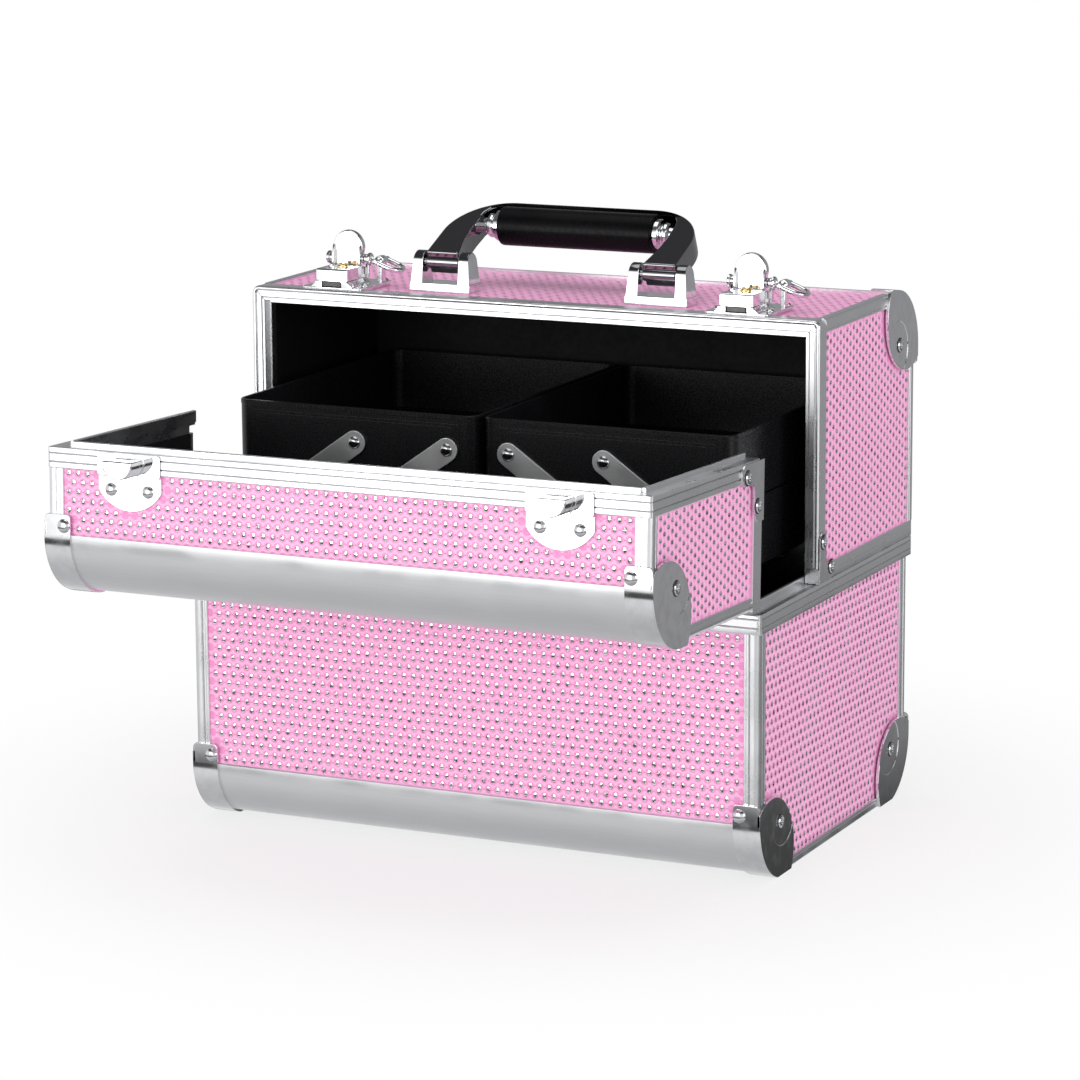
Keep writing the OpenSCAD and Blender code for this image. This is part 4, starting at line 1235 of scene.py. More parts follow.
@dataclass
class LowerBody(Assembly):
    """Lower half: stone panels, posts, rim, curved profiles and castings."""

    rim_low: float = 125.5
    rim_high: float = 135.5
    tongue_high: float = 139.0

    def panels(self) -> None:
        """Front, rear and side boards with stones."""
        f = self.finishes
        top = self.rim_low
        strap = (139.9, 160.0, 0.0, 42.6)
        straps = (strap, (-strap[1], -strap[0], strap[2], strap[3]))
        front = StonePanel(span(-149.5, 149.5, ROUND, top), Facing.Y, -100.2, -96.2,
                           Window(-145.0, 145.0, ROUND + 1.0, top - 1.4, straps), (0.0, 78.0),
                           (150.0, 50.0))
        piece = self.boards("lower_face_boards", "lower_face_panels")
        front.dress(piece, IDENTITY, MIRROR_Y).make()
        loop = [(-94.5, top), (-94.5, ROUND), (-96.5, ROUND)] + arc(-70.5, ROUND, 26, 180, 270, 12)[1:]
        loop += [(-y, z) for y, z in reversed(loop)]
        discs = ((-87.0, 13.0, CHEEK_CLEAR), (87.0, 13.0, CHEEK_CLEAR))
        side = StonePanel(loop, Facing.X, 153.2, 149.2, Window(-89.9, 89.9, 6.6, top - 1.4, (), discs),
                          (0.0, 78.0), (95.0, 76.0))
        piece = self.boards("lower_side_boards", "lower_side_panels")
        side.dress(piece, *BOTH_SIDES).make()

    def posts(self) -> None:
        """Corner posts: a bead round the corner, a groove and a flange on each face."""
        front = [(8.0, 1.3), (8.0, 0.65), (7.65, 0.3), (6.9, 0.3), (6.7, 0.5), (6.5, 0.3),
                 (5.6, 0.3), (5.35, 0.75),
                 (4.9, 0.75), (4.7, 0.25), (4.4, 0.02)]
        corner = arc(3, 3, 3, 270, 180, 9)
        side = [(0.02, 4.4), (0.25, 4.7), (0.75, 4.9), (0.75, 5.35), (0.3, 5.6), (0.3, 8.2),
                (0.5, 8.45), (0.3, 8.7),
                (0.3, 9.65), (0.65, 10.0), (1.3, 10.0), (1.3, 7.0), (5.3, 7.0), (5.3, 5.3),
                (5.0, 5.3), (5.0, 1.3)]
        section = [(BODY_X - a, -BODY_Y + b) for a, b in front + corner + side]
        post = slab(section, Facing.Z, ROUND, self.rim_low)
        lined(lined(post, (0, -1, 0), BODY_Y - 0.75, 1), (1, 0, 0), BODY_X - 0.75, 1)
        f = self.finishes
        piece = self.piece("lower_corner_posts", Slot.FRAME, (f.along_z, f.groove), "lower_posts")
        piece.add(post, *FOUR_CORNERS).make()

    def rim(self) -> None:
        """Four mitred bars with two grooves and a tongue."""
        low, high, tip = self.rim_low, self.rim_high, self.tongue_high
        section = [(0.6, low), (0.15, low + 0.2), (0, low + 0.7), (0, 128.2), (0.5, 128.55),
                   (0.5, 128.85), (0, 129.2),
                   (0, 132.5), (0.5, 132.85), (0.5, 133.15), (0, 133.5), (0, high - 0.9),
                   (0.3, high - 0.3),
                   (0.9, high), (4.0, high), (4.2, high - 0.25), (4.4, high), (7.3, high),
                   (7.3, tip - 0.5),
                   (7.7, tip), (9.1, tip), (9.5, tip - 0.5), (9.5, low)]
        f = self.finishes
        piece = self.piece("lower_rim_bars", Slot.FRAME, (f.along_x, f.along_y, f.groove), "lower_rim")
        long_bar = eased(lined(mitred_bar(section, 313), (0, -1, 0), -0.5, 2), 156.5, 3)
        piece.add(long_bar, shift(y=-HALF_DEPTH), TO_REAR @ shift(y=-HALF_DEPTH))
        short_bar = eased(lined(mitred_bar(section, 207), (0, -1, 0), -0.5, 2), 103.5, 3)
        right = shift(x=HALF_WIDTH) @ turn(90, "Z")
        piece.add(short_bar, right, TO_REAR @ right, finish=1)
        piece.make()

    def curved(self) -> None:
        """Curved profiles at front and rear, and the rails along the lower side edges."""
        centre_y, inner = -BODY_Y + ROUND, ROUND - 3.5
        loop = arc(centre_y, ROUND, ROUND, 180, 270, 24) + arc(centre_y, ROUND, inner, 270, 180, 12)
        loop[0:1] = [(-BODY_Y + 0.5, ROUND), (-BODY_Y + 0.1, ROUND - 0.35)]
        f = self.finishes
        piece = self.piece("lower_curved_profiles", Slot.CURVE, (f.curve,), "lower_bottom_rails")
        piece.add(slab(loop, Facing.X, -149.2, 149.2), IDENTITY, MIRROR_Y).make()
        section = [(BODY_X - a, -BODY_Y + k) for a, k in (
            (5.3, 0), (0.9, 0), (0.3, 0.3), (0, 0.9), (0, 3.2), (0.4, 3.5), (0.4, 3.75), (0, 4.0),
            (0, 4.6),
            (0.4, 5.0), (5.3, 5.0))]
        rail = swept(section, Facing.Z, ROUND, (
            ("bend", (0, -BODY_Y + ROUND, ROUND), (1, 0, 0), 90), ("go", (0, 2 * (BODY_Y - ROUND), 0)),
            ("bend", (0, BODY_Y - ROUND, ROUND), (1, 0, 0), 90)))
        self.piece("lower_edge_rails", Slot.FRAME, (f.along_y,)).add(rail, *BOTH_SIDES).make()

    def castings(self) -> None:
        """Four corner castings with their rivets."""
        f = self.finishes
        piece = self.fittings("lower_castings", "lower_corner_castings", "lower_rivets")
        Casting(BODY_X, BODY_Y, 0.0).dress(piece, *FOUR_CORNERS).make()

    def build(self) -> None:
        """Makes the lower body's pieces."""
        self.panels()
        self.posts()
        self.rim()
        self.curved()
        self.castings()


@dataclass
class Lid(Assembly):
    """Upper half: stone panels, opening frame, rims, rails, crown, castings and brackets."""

    body: str = field(default="lid", kw_only=True)
    inner_x: float = 151.2
    frame_back: float = -21.0
    corner: float = 4.0

    def panels(self) -> None:
        """Top, rear and side boards with stones."""
        f = self.finishes
        x = self.inner_x
        covered = strap_blocks(60.6, 80.0)
        for side in (-1, 1):
            covered.append((side * LATCH_X - 19.0, side * LATCH_X + 19.0, LID_FRONT, 10.0))
            covered.append((side * BRACKET_X - 19.2, side * BRACKET_X + 19.2, -12.0, 8.6))
        window = Window(-x + 1.7, x - 1.7, self.frame_back + 1.4, 71.2, tuple(covered))
        top = StonePanel(span(-x, x, self.frame_back, CURVE_Y), Facing.Z, PANEL_TOP,
                         PANEL_TOP - BOARD_THICK, window, (0.0, 24.0), (152.0, 50.0),
                         rings=((1.25, -0.1), (1.15, 0.02), (0.8, 0.08)))
        window = Window(-x + 1.7, x - 1.7, 145.2, 233.8, tuple(strap_blocks(223.0, 240.0)))
        rear = StonePanel(span(-x, x, LID_LOW, CURVE_Z), Facing.Y, PANEL_Y, PANEL_Y - BOARD_THICK,
                          window, (0.0, 190.0), (152.0, 48.0))
        piece = self.boards("lid_face_boards", "lid_face_panels")
        rear.dress(top.dress(piece)).make()
        loop = [(self.frame_back, LID_LOW), (BOARD_Y, LID_LOW)]
        loop += arc(CURVE_Y, CURVE_Z, BOARD_ROUND, 0, 90, 12) + [(self.frame_back, BOARD_HIGH)]
        window = Window(-19.4, 94.9, 145.4, 257.4, ((LID_FRONT, -9.6, 130.0, 147.6),),
                        ((89.0, 253.0, CHEEK_CLEAR),), ((CURVE_Y, CURVE_Z, CURVE_CLEAR, 1, 1),))
        side = StonePanel(loop, Facing.X, PANEL_X, PANEL_X - BOARD_THICK, window, (37.0, 200.0),
                          (62.0, 62.0), upright=True)
        piece = self.boards("lid_side_boards", "lid_side_panels")
        side.dress(piece, *BOTH_SIDES).make()

    def opening(self) -> None:
        """Mitred frame: a rounded outer strip, a groove, a flat strip and a set-back inner one."""
        front, back = LID_FRONT, self.frame_back
        section = [(2.3, back), (2.3, front + 1.0), (2.8, front + 1.0), (2.95, front + 0.15),
                   (5.3, front + 0.15),
                   (5.4, front + 1.1), (5.8, front + 1.1), (5.9, front + 0.35),
                   (7.0, front + 0.35), (7.0, back)]
        step = [(7.0, front + 4), (8.7, front + 4), (9.0, front + 4.3), (9.0, back), (7.0, back)]
        bead = [(HALF_WIDTH, back), (HALF_WIDTH - 2.5, back)]
        bead += [(HALF_WIDTH - 1.25 - a, front + 1.25 + b) for a, b in arc(0, 0, 1.25, 0, -180, 10)]
        f = self.finishes
        piece = self.piece("lid_opening_frame", Slot.FRAME, (f.along_x, f.along_z, f.groove),
                           "lid_front_frame", "lid_frame_step")
        across = Matrix(((1, 0, 0, 0), (0, 0, 1, 0), (0, -1, 0, TOP), (0, 0, 0, 1)))
        x, z = HALF_WIDTH - self.corner, TOP - self.corner
        piece.add(swept(bead, Facing.Z, SEAM, (
            ("go", (0, 0, z - SEAM)), ("bend", (x, 0, z), (0, 1, 0), -90), ("go", (-2 * x, 0, 0)),
            ("bend", (-x, 0, z), (0, 1, 0), -90), ("go", (0, 0, SEAM - z)))))
        piece.add(lined(mitred_bar(section, 313, 0.3), (0, 0, -1), -front - 1.1, 2), across)
        piece.add(mitred_bar(step, 313), across)
        for part, low in ((section, SEAM), (step, 139.6)):
            half = (TOP - low) / 2
            down = Matrix(((0, -1, 0, HALF_WIDTH), (0, 0, 1, 0), (-1, 0, 0, TOP - half), (0, 0, 0, 1)))
            bar = lined(mitred_bar(part, 2 * half, square_end=half), (0, 0, -1), -front - 1.1, 2)
            piece.add(bar, down, MIRROR_X @ down, finish=1)
        piece.make(30)

    def rims(self) -> None:
        """Bars on the lower rim, and rails along the upper side edges and down the rear ones."""
        section = [(0.7, SEAM), (0.2, SEAM + 0.2), (0, SEAM + 0.7), (0, 139.3), (0.45, 139.6),
                   (0.45, 139.85),
                   (0, 140.15), (0, 143.2), (0.5, LID_LOW), (5.3, LID_LOW), (5.3, SEAM)]
        f = self.finishes
        piece = self.piece("lid_rim_bars", Slot.FRAME, (f.along_x, f.along_y), "lid_bottom_rim")
        piece.add(eased(mitred_bar(section, 313), 156.5, 3), TO_REAR @ shift(y=-HALF_DEPTH))
        half = (HALF_DEPTH - self.frame_back) / 2
        back = Matrix(((0, -1, 0, HALF_WIDTH), (-1, 0, 0, HALF_DEPTH - half), (0, 0, 1, 0),
                       (0, 0, 0, 1)))
        bar = eased(mitred_bar(section, 2 * half, square_end=half), half, 3, False)
        piece.add(bar, back, MIRROR_X @ back, finish=1)
        piece.make()
        rail_section = [(HALF_WIDTH - a, TOP - k) for a, k in (
            (5.3, 0.5), (4.9, 0.12), (3.9, 0.12), (3.6, 0.5), (3.2, 0.5), (2.9, 0.08), (2.0, 0.0),
            (1.1, 0.28),
            (0.28, 1.1), (0, 2.0), (0, 4.9), (0.45, 5.25), (0.45, 5.5), (0.1, 5.8), (0.1, 6.7),
            (0.4, 7.0),
            (5.3, 7.0))]
        rail = swept(rail_section, Facing.Y, self.frame_back, (
            ("go", (0, CURVE_Y - self.frame_back, 0)), ("bend", (0, CURVE_Y, CURVE_Z), (1, 0, 0), -90),
            ("go", (0, 0, LID_LOW - CURVE_Z))))
        piece = self.piece("lid_corner_rails", Slot.FRAME, (f.along_y,), "lid_edge_rails")
        piece.add(rail, *BOTH_SIDES).make()
        loop = arc(CURVE_Y, CURVE_Z, ROUND, 0, 90, 24) + arc(CURVE_Y, CURVE_Z, INNER_ROUND, 90, 0, 12)
        piece = self.piece("lid_curved_profile", Slot.CURVE, (f.curve,), "lid_rear_crown")
        piece.add(slab(loop, Facing.X, -self.inner_x, self.inner_x)).make()

    def corners(self) -> None:
        """Castings at the rear, and brackets on the lower front corners."""
        f = self.finishes
        piece = self.fittings("lid_castings", "lid_corner_castings", "lid_rivets")
        over = shift(z=TOP) @ turn(180, "X")
        Casting(HALF_WIDTH, HALF_DEPTH, -1.2).dress(piece, over, MIRROR_X @ over)
        head = Rivet().hollow
        for y, z in ((-25.8, 156.3), (-15.5, 142.3)):
            at = shift(HALF_WIDTH + 1, y, z) @ FACE_X
            piece.add(head(), at, MIRROR_X @ at, finish=1)
            piece.add(Rivet().ring(), at, MIRROR_X @ at, finish=2)
        piece.make()
        loop = [(-30, 136.3)] + arc(-14.6, 140.6, 4.3, -90, 90, 8) + arc(-19.6, 146.9, 2.0, 270, 180, 5)
        loop += arc(-25.8, 157.1, 4.2, 0, 180, 8)
        plate = slab(loop, Facing.X, HALF_WIDTH, HALF_WIDTH + 1, 0.3)
        piece = self.piece("lid_lower_brackets", Slot.STEEL, (f.steel,), "lid_corner_brackets")
        piece.add(plate, *BOTH_SIDES)
        lip = brick((HALF_WIDTH - 6.4, -30.5, 136.3), (HALF_WIDTH + 0.9, -30.02, 143.4), 0.15)
        piece.add(lip, *BOTH_SIDES)
        piece.make()

    def build(self) -> None:
        """Makes the lid's pieces."""
        self.panels()
        self.opening()
        self.rims()
        self.corners()


@dataclass
class Flap(Assembly):
    """Front flap, drawn closed and turned open in the end."""

    body: str = field(default="flap", kw_only=True)
    inner_x: float = 148.0
    rim_back: float = -40.6

    def make(self, piece: Piece, smooth: float = 32.0) -> None:
        """Makes a piece at the angle at which the flap rests."""
        piece.make(smooth, FLAP_OPEN)

    def panels(self) -> None:
        """Face, front and side boards with stones."""
        f = self.finishes
        x = self.inner_x
        keepers = tuple((side * LATCH_X, -40.2, 21.4) for side in (-1, 1))
        window = Window(-x + 1.2, x - 1.2, -71.4, self.rim_back - 1.2,
                        tuple(strap_blocks(-80.0, -60.6)), keepers)
        face = StonePanel(span(-x, x, -CURVE_Y, self.rim_back), Facing.Z, PANEL_TOP,
                          PANEL_TOP - BOARD_THICK, window, (0.0, -56.0), (150.0, 18.0))
        piece = self.boards("flap_face_board", "flap_face_panel")
        self.make(face.dress(piece))
        front = StonePanel(span(-x, x, FLAP_LOW, CURVE_Z), Facing.Y, -PANEL_Y, BOARD_THICK - PANEL_Y,
                           Window(-x + 1.6, x - 1.6, 147.2, 233.8), (0.0, 190.0), (150.0, 46.0))
        piece = self.boards("flap_front_board", "flap_front_panel")
        self.make(front.dress(piece))
        loop = [(-BOARD_Y, FLAP_LOW)] + arc(-CURVE_Y, CURVE_Z, BOARD_ROUND, 180, 90, 12)
        loop += [(self.rim_back, BOARD_HIGH), (self.rim_back, FLAP_LOW)]
        window = Window(-94.9, self.rim_back - 1.5, 147.3, 257.4, ((-62.0, -30.0, 130.0, 149.2),),
                        ((-90.5, 251.5, CHEEK_CLEAR),), ((-CURVE_Y, CURVE_Z, CURVE_CLEAR, -1, 1),))
        side = StonePanel(loop, Facing.X, PANEL_X, PANEL_X - BOARD_THICK, window, (-68.0, 200.0),
                          (32.0, 60.0))
        piece = self.boards("flap_side_boards", "flap_side_panels")
        self.make(side.dress(piece, *BOTH_SIDES))

    def rims(self) -> None:
        """Mitred bars round the opening with the tongues inside them."""
        f = self.finishes
        grooves = [(0.6, 0.0), (0.15, 0.2), (0, 0.7), (0, 2.4), (0.5, 2.7), (0.5, 3.0), (0, 3.3),
                   (0, 6.5),
                   (0.5, 6.8), (0.5, 7.1), (0, 7.4), (0, 9.5), (0.4, 10.0)]
        piece = self.piece("flap_rim_bars", Slot.FRAME, (f.along_x, f.along_z, f.groove),
                           "flap_rails", "flap_tongues")
        across = Matrix(((1, 0, 0, 0), (0, 0, -1, FLAP_RIM), (0, -1, 0, TOP), (0, 0, 0, 1)))
        top = lined(mitred_bar(grooves + [(9.5, 10.0), (9.5, 0.0)], 313), (0, -1, 0), -0.5, 2)
        piece.add(eased(top, 156.5, 2), across)
        half = (TOP - SEAM) / 2
        down = Matrix(((0, -1, 0, HALF_WIDTH), (0, 0, -1, FLAP_RIM), (-1, 0, 0, TOP - half),
                       (0, 0, 0, 1)))
        bar = mitred_bar(grooves + [(5.3, 10.0), (5.3, 5.3), (8.5, 5.3), (8.5, 0.0)], 2 * half,
                         square_end=half - 3.9)
        bar = eased(lined(bar, (0, -1, 0), -0.5, 2), half, 2, False)
        piece.add(bar, down, MIRROR_X @ down, finish=1)
        tongue = [(147.2, -34.6), (148.0, -34.6), (148.0, -30.6), (149.2, -30.6), (149.2, -29.0),
                  (148.8, -28.6),
                  (147.6, -28.6), (147.2, -29.0)]
        piece.add(slab(tongue, Facing.Z, 140.0, 256.5), *BOTH_SIDES, finish=1)
        piece.add(slab([(-31.6, 255.7), (-28.9, 255.7), (-28.6, 256.0), (-28.6, 257.2),
                        (-28.9, 257.5), (-30.6, 257.5),
                        (-30.6, 256.5), (-31.6, 256.5)], Facing.X, -147.2, 147.2))
        piece.add(brick((-148.0, -103.5, SEAM), (148.0, -98.2, FLAP_LOW), 0.5))
        self.make(piece)

    def frames(self) -> None:
        """Profiles from the rim round the curve to the hinge side, and bars at the hinge."""
        f = self.finishes
        top = [(8.5, 1.3), (8.5, 0.65), (8.15, 0.3), (7.2, 0.3), (7.0, 0.5), (6.8, 0.3),
               (5.6, 0.3), (5.35, 0.75),
               (4.9, 0.75), (4.7, 0.25), (4.4, 0.02), (3.0, 0.0)]
        corner = arc(3, 3, 3, 260, 190, 7)
        side = [(0.0, 3.0), (0.02, 4.2), (0.3, 4.5), (0.55, 4.7), (0.55, 5.1), (0.25, 5.4),
                (0.25, 6.6), (0.6, 7.0),
                (5.3, 7.0), (5.3, 5.3), (8.5, 5.3)]
        section = [(HALF_WIDTH - a, TOP - k) for a, k in top + corner + side]
        rail = swept(section, Facing.Y, self.rim_back, (
            ("go", (0, -CURVE_Y - self.rim_back, 0)), ("bend", (0, -CURVE_Y, CURVE_Z), (1, 0, 0), 90),
            ("go", (0, 0, FLAP_LOW - CURVE_Z))))
        piece = self.piece("flap_side_profiles", Slot.FRAME, (f.along_z,), "flap_side_frames")
        piece.add(rail, *BOTH_SIDES)
        foot = [(-103.5, SEAM), (-103.5, FLAP_LOW), (self.rim_back, FLAP_LOW), (self.rim_back, SEAM)]
        piece.add(slab(foot, Facing.X, 151.2, HALF_WIDTH, 0.5), *BOTH_SIDES)
        self.make(piece)
        loop = arc(-CURVE_Y, CURVE_Z, ROUND, 90, 180, 24) + arc(-CURVE_Y, CURVE_Z, INNER_ROUND,
                                                                180, 90, 12)
        piece = self.piece("flap_curved_profile", Slot.CURVE, (f.curve,), "flap_crown")
        self.make(piece.add(slab(loop, Facing.X, -148, 148)))

    def corners(self) -> None:
        """Castings, brackets and keepers with their rivets."""
        f = self.finishes
        onto = shift(0, -HALF_DEPTH, TOP - HALF_DEPTH) @ turn(-90, "X")
        piece = self.fittings("flap_castings", "flap_corner_castings", "flap_rivets")
        Casting(HALF_WIDTH, HALF_DEPTH, -1.2).dress(piece, onto, MIRROR_X @ onto)
        for y, z in ((-37.6, 156.8), (-52.6, 143.8)):
            at = shift(HALF_WIDTH + 1, y, z) @ FACE_X
            piece.add(Rivet().hollow(), at, MIRROR_X @ at, finish=1)
            piece.add(Rivet().ring(), at, MIRROR_X @ at, finish=2)
        for s in (-1, 1):
            for r in (-10, 10):
                piece.add(Rivet(3.0, 1.7).domed(), shift(s * LATCH_X + r, -48.6, PANEL_TOP + 1.2),
                          finish=1)
        self.make(piece)
        loop = [(-31.1, 136.3), (-31.1, 159.0)] + arc(-36.3, 158.1, 5.2, 10, 180, 8)
        loop += arc(-46.5, 152.2, 4.9, 0, -90, 6) + arc(-54.8, 141.8, 5.5, 90, 180, 6) + [(-60.3,
                                                                                           136.3)]
        plate = slab(loop, Facing.X, HALF_WIDTH, HALF_WIDTH + 1, 0.3)
        piece = self.piece("flap_lower_brackets", Slot.STEEL, (f.steel,), "flap_corner_brackets")
        self.make(piece.add(plate, *BOTH_SIDES))
        self.keepers()

    def keepers(self) -> None:
        """Keepers: a folded plate with a round end and a D-shaped nose for the bolt."""
        f = self.finishes
        places = (shift(-LATCH_X), shift(LATCH_X))
        piece = self.piece("flap_keeper_plates", Slot.PLATED, (f.plate, f.dark), "flap_keepers")
        upper = rounded(17, 5.55, 1.4, 0, -36.55)
        piece.add(slab(upper, Facing.Z, TOP, TOP + 1.2, 0.3), *places)
        fold = [(-42.1, PANEL_TOP), (-40.6, PANEL_TOP), (-40.6, TOP + 0.9), (-41.0, TOP + 1.2),
                (-41.7, TOP + 0.9),
                (-42.1, TOP + 0.2)]
        piece.add(slab(fold, Facing.X, -17, 17, 0.15), *places)
        lower = [(17, -41.6)] + arc(0, -38.6, 20, -31.8, -148.2, 24) + [(-17, -41.6)]
        piece.add(slab(lower, Facing.Z, PANEL_TOP, PANEL_TOP + 1.2, 0.3), *places)
        flat = math.degrees(math.asin(0.9 / 8))
        nose = arc(0, -34.1, 8.0, flat, -180 - flat, 28)
        piece.add(slab(nose, Facing.Z, TOP + 0.9, TOP + 12, 0.7, 3), *places)
        lip = arc(0, -34.1, 8.9, flat, -180 - flat, 28)
        piece.add(slab(lip, Facing.Z, TOP + 0.9, TOP + 2.0, 0.35), *places)
        # painted shade: a near-black bar in the nose's slot
        piece.add(brick((-5.5, -33.6, TOP + 1.3), (5.5, -33.12, TOP + 4.2), 0.1), *places, finish=1)
        self.make(piece)

    def build(self) -> None:
        """Makes the flap's pieces."""
        self.panels()
        self.rims()
        self.frames()
        self.corners()


@dataclass
class Handle(Assembly):
    """Handle, drawn upright over its rods and leant back in the end."""

    body: str = field(default="handle", kw_only=True)
    grip_up: float = 37.5
    leg_x: float = 69.0
    top: float = 50.5
    shoulder: float = 30.0
    bow_wide: float = 13.0

    def bow(self) -> None:
        """Polished bow: broad legs that run into a thin strip over the grip."""
        f = self.finishes
        # painted dark reflection: the bow's plating is darkened
        piece = self.piece("handle_bow", Slot.PLATED, (f.painted_dark_reflection_plate,), "handle_frame")
        x, up, half = self.leg_x - self.shoulder, self.top - self.shoulder, self.bow_wide / 2
        outer = [(self.leg_x, -1.0)] + arc(x, up, self.shoulder, 0, 90, 16)
        inner = [(51.0, -1.0), (52.6, 7.0), (54.0, 16.0), (54.4, 26.0), (54.0, 36.0),
                 (53.4, 40.0), (51.6, 43.6),
                 (48.8, 46.6), (45.0, 47.9)]
        loop = outer + [(-u, v) for u, v in reversed(outer)] + [(-u, v) for u, v in inner] + inner[::-1]
        piece.add(slab(loop, Facing.Y, -half, half, 1.1, 4))
        neck = shift(BRACKET_X - 9) @ turn(90, "Y")
        piece.add(rod(3.6, 18, 0.6, 32, 1.86), neck, MIRROR_X @ neck)
        piece.make(40, HANDLE_BACK)

    def grip(self) -> None:
        """Round grip between stepped collars on a spindle."""
        f = self.finishes
        lie = shift(0, 0, self.grip_up) @ turn(90, "Y")
        body = turned([(4.1, -42.9), (9.2, -42.9), (9.75, -42.6), (10.0, -41.8), (10.0, 41.8),
                       (9.75, 42.6),
                       (9.2, 42.9), (4.1, 42.9), (4.1, -42.9)], 48)
        piece = self.piece("handle_round_grip", Slot.GRIP, (f.grip,), "handle_grip")
        piece.add(body, lie).make(30, HANDLE_BACK)
        collar = turned([(0, 42.95), (7.2, 42.95), (7.8, 43.3), (7.8, 45.6), (7.3, 46.2),
                         (5.6, 46.4), (5.2, 46.8),
                         (5.2, 47.4), (5.9, 47.8), (6.3, 48.6), (6.2, 49.8), (5.4, 50.6),
                         (4.2, 50.9), (4.0, 51.4),
                         (4.0, 54.6), (0, 54.6)], 40)
        piece = self.piece("handle_end_collars", Slot.PLATED, (f.plate,), "handle_collars")
        piece.add(collar, lie, MIRROR_X @ lie).make(30, HANDLE_BACK)

    def brackets(self) -> None:
        """Brackets on the lid: a tapered foot with two leaning, round-topped uprights and the rod."""
        f = self.finishes
        y, top, r, half, low = -0.7, 279.5, 5.6, 7.3, PANEL_TOP
        cheek = [(y - half, low), (y + half, low)] + arc(y, top, r, -6, 186, 16)
        slope = (half - r) / (top - low)
        piece = self.piece("handle_bracket_castings", Slot.PLATED, (f.plate, f.painted_dark_reflection_plate),
                           "handle_brackets", "handle_rods", body="lid")
        foot = [(y - half, low), (y + half, low), (y + half - 4.5 * slope, low + 4.5),
                (y - half + 4.5 * slope, low + 4.5)]
        for x in (-BRACKET_X, BRACKET_X):
            for side in (-1, 1):
                upright = slab(cheek, Facing.X, 10.0, 17.0)
                for vert in upright.verts:
                    vert.co.x -= max(0.0, vert.co.z - low) * (0.09 if vert.co.x > 13 else 0.0)
                for face in upright.faces:
                    # painted dark reflection: faces that look upwards get the darkened plating
                    face.material_index = 1 if face.normal.z > 0.25 else 0
                soften(upright, 0.45, 3, 24)
                piece.add(upright, shift(x) @ Matrix.Diagonal((side, 1, 1, 1)))
            piece.add(slab(foot, Facing.X, x - 16.95, x + 16.95, 0.4, 2))
            piece.add(rod(1.8, 31.0, 0.3), shift(x - 15.5, y, top) @ turn(90, "Y"))
        piece.make(30)

    def build(self) -> None:
        """Makes the handle and its brackets."""
        self.bow()
        self.grip()
        self.brackets()


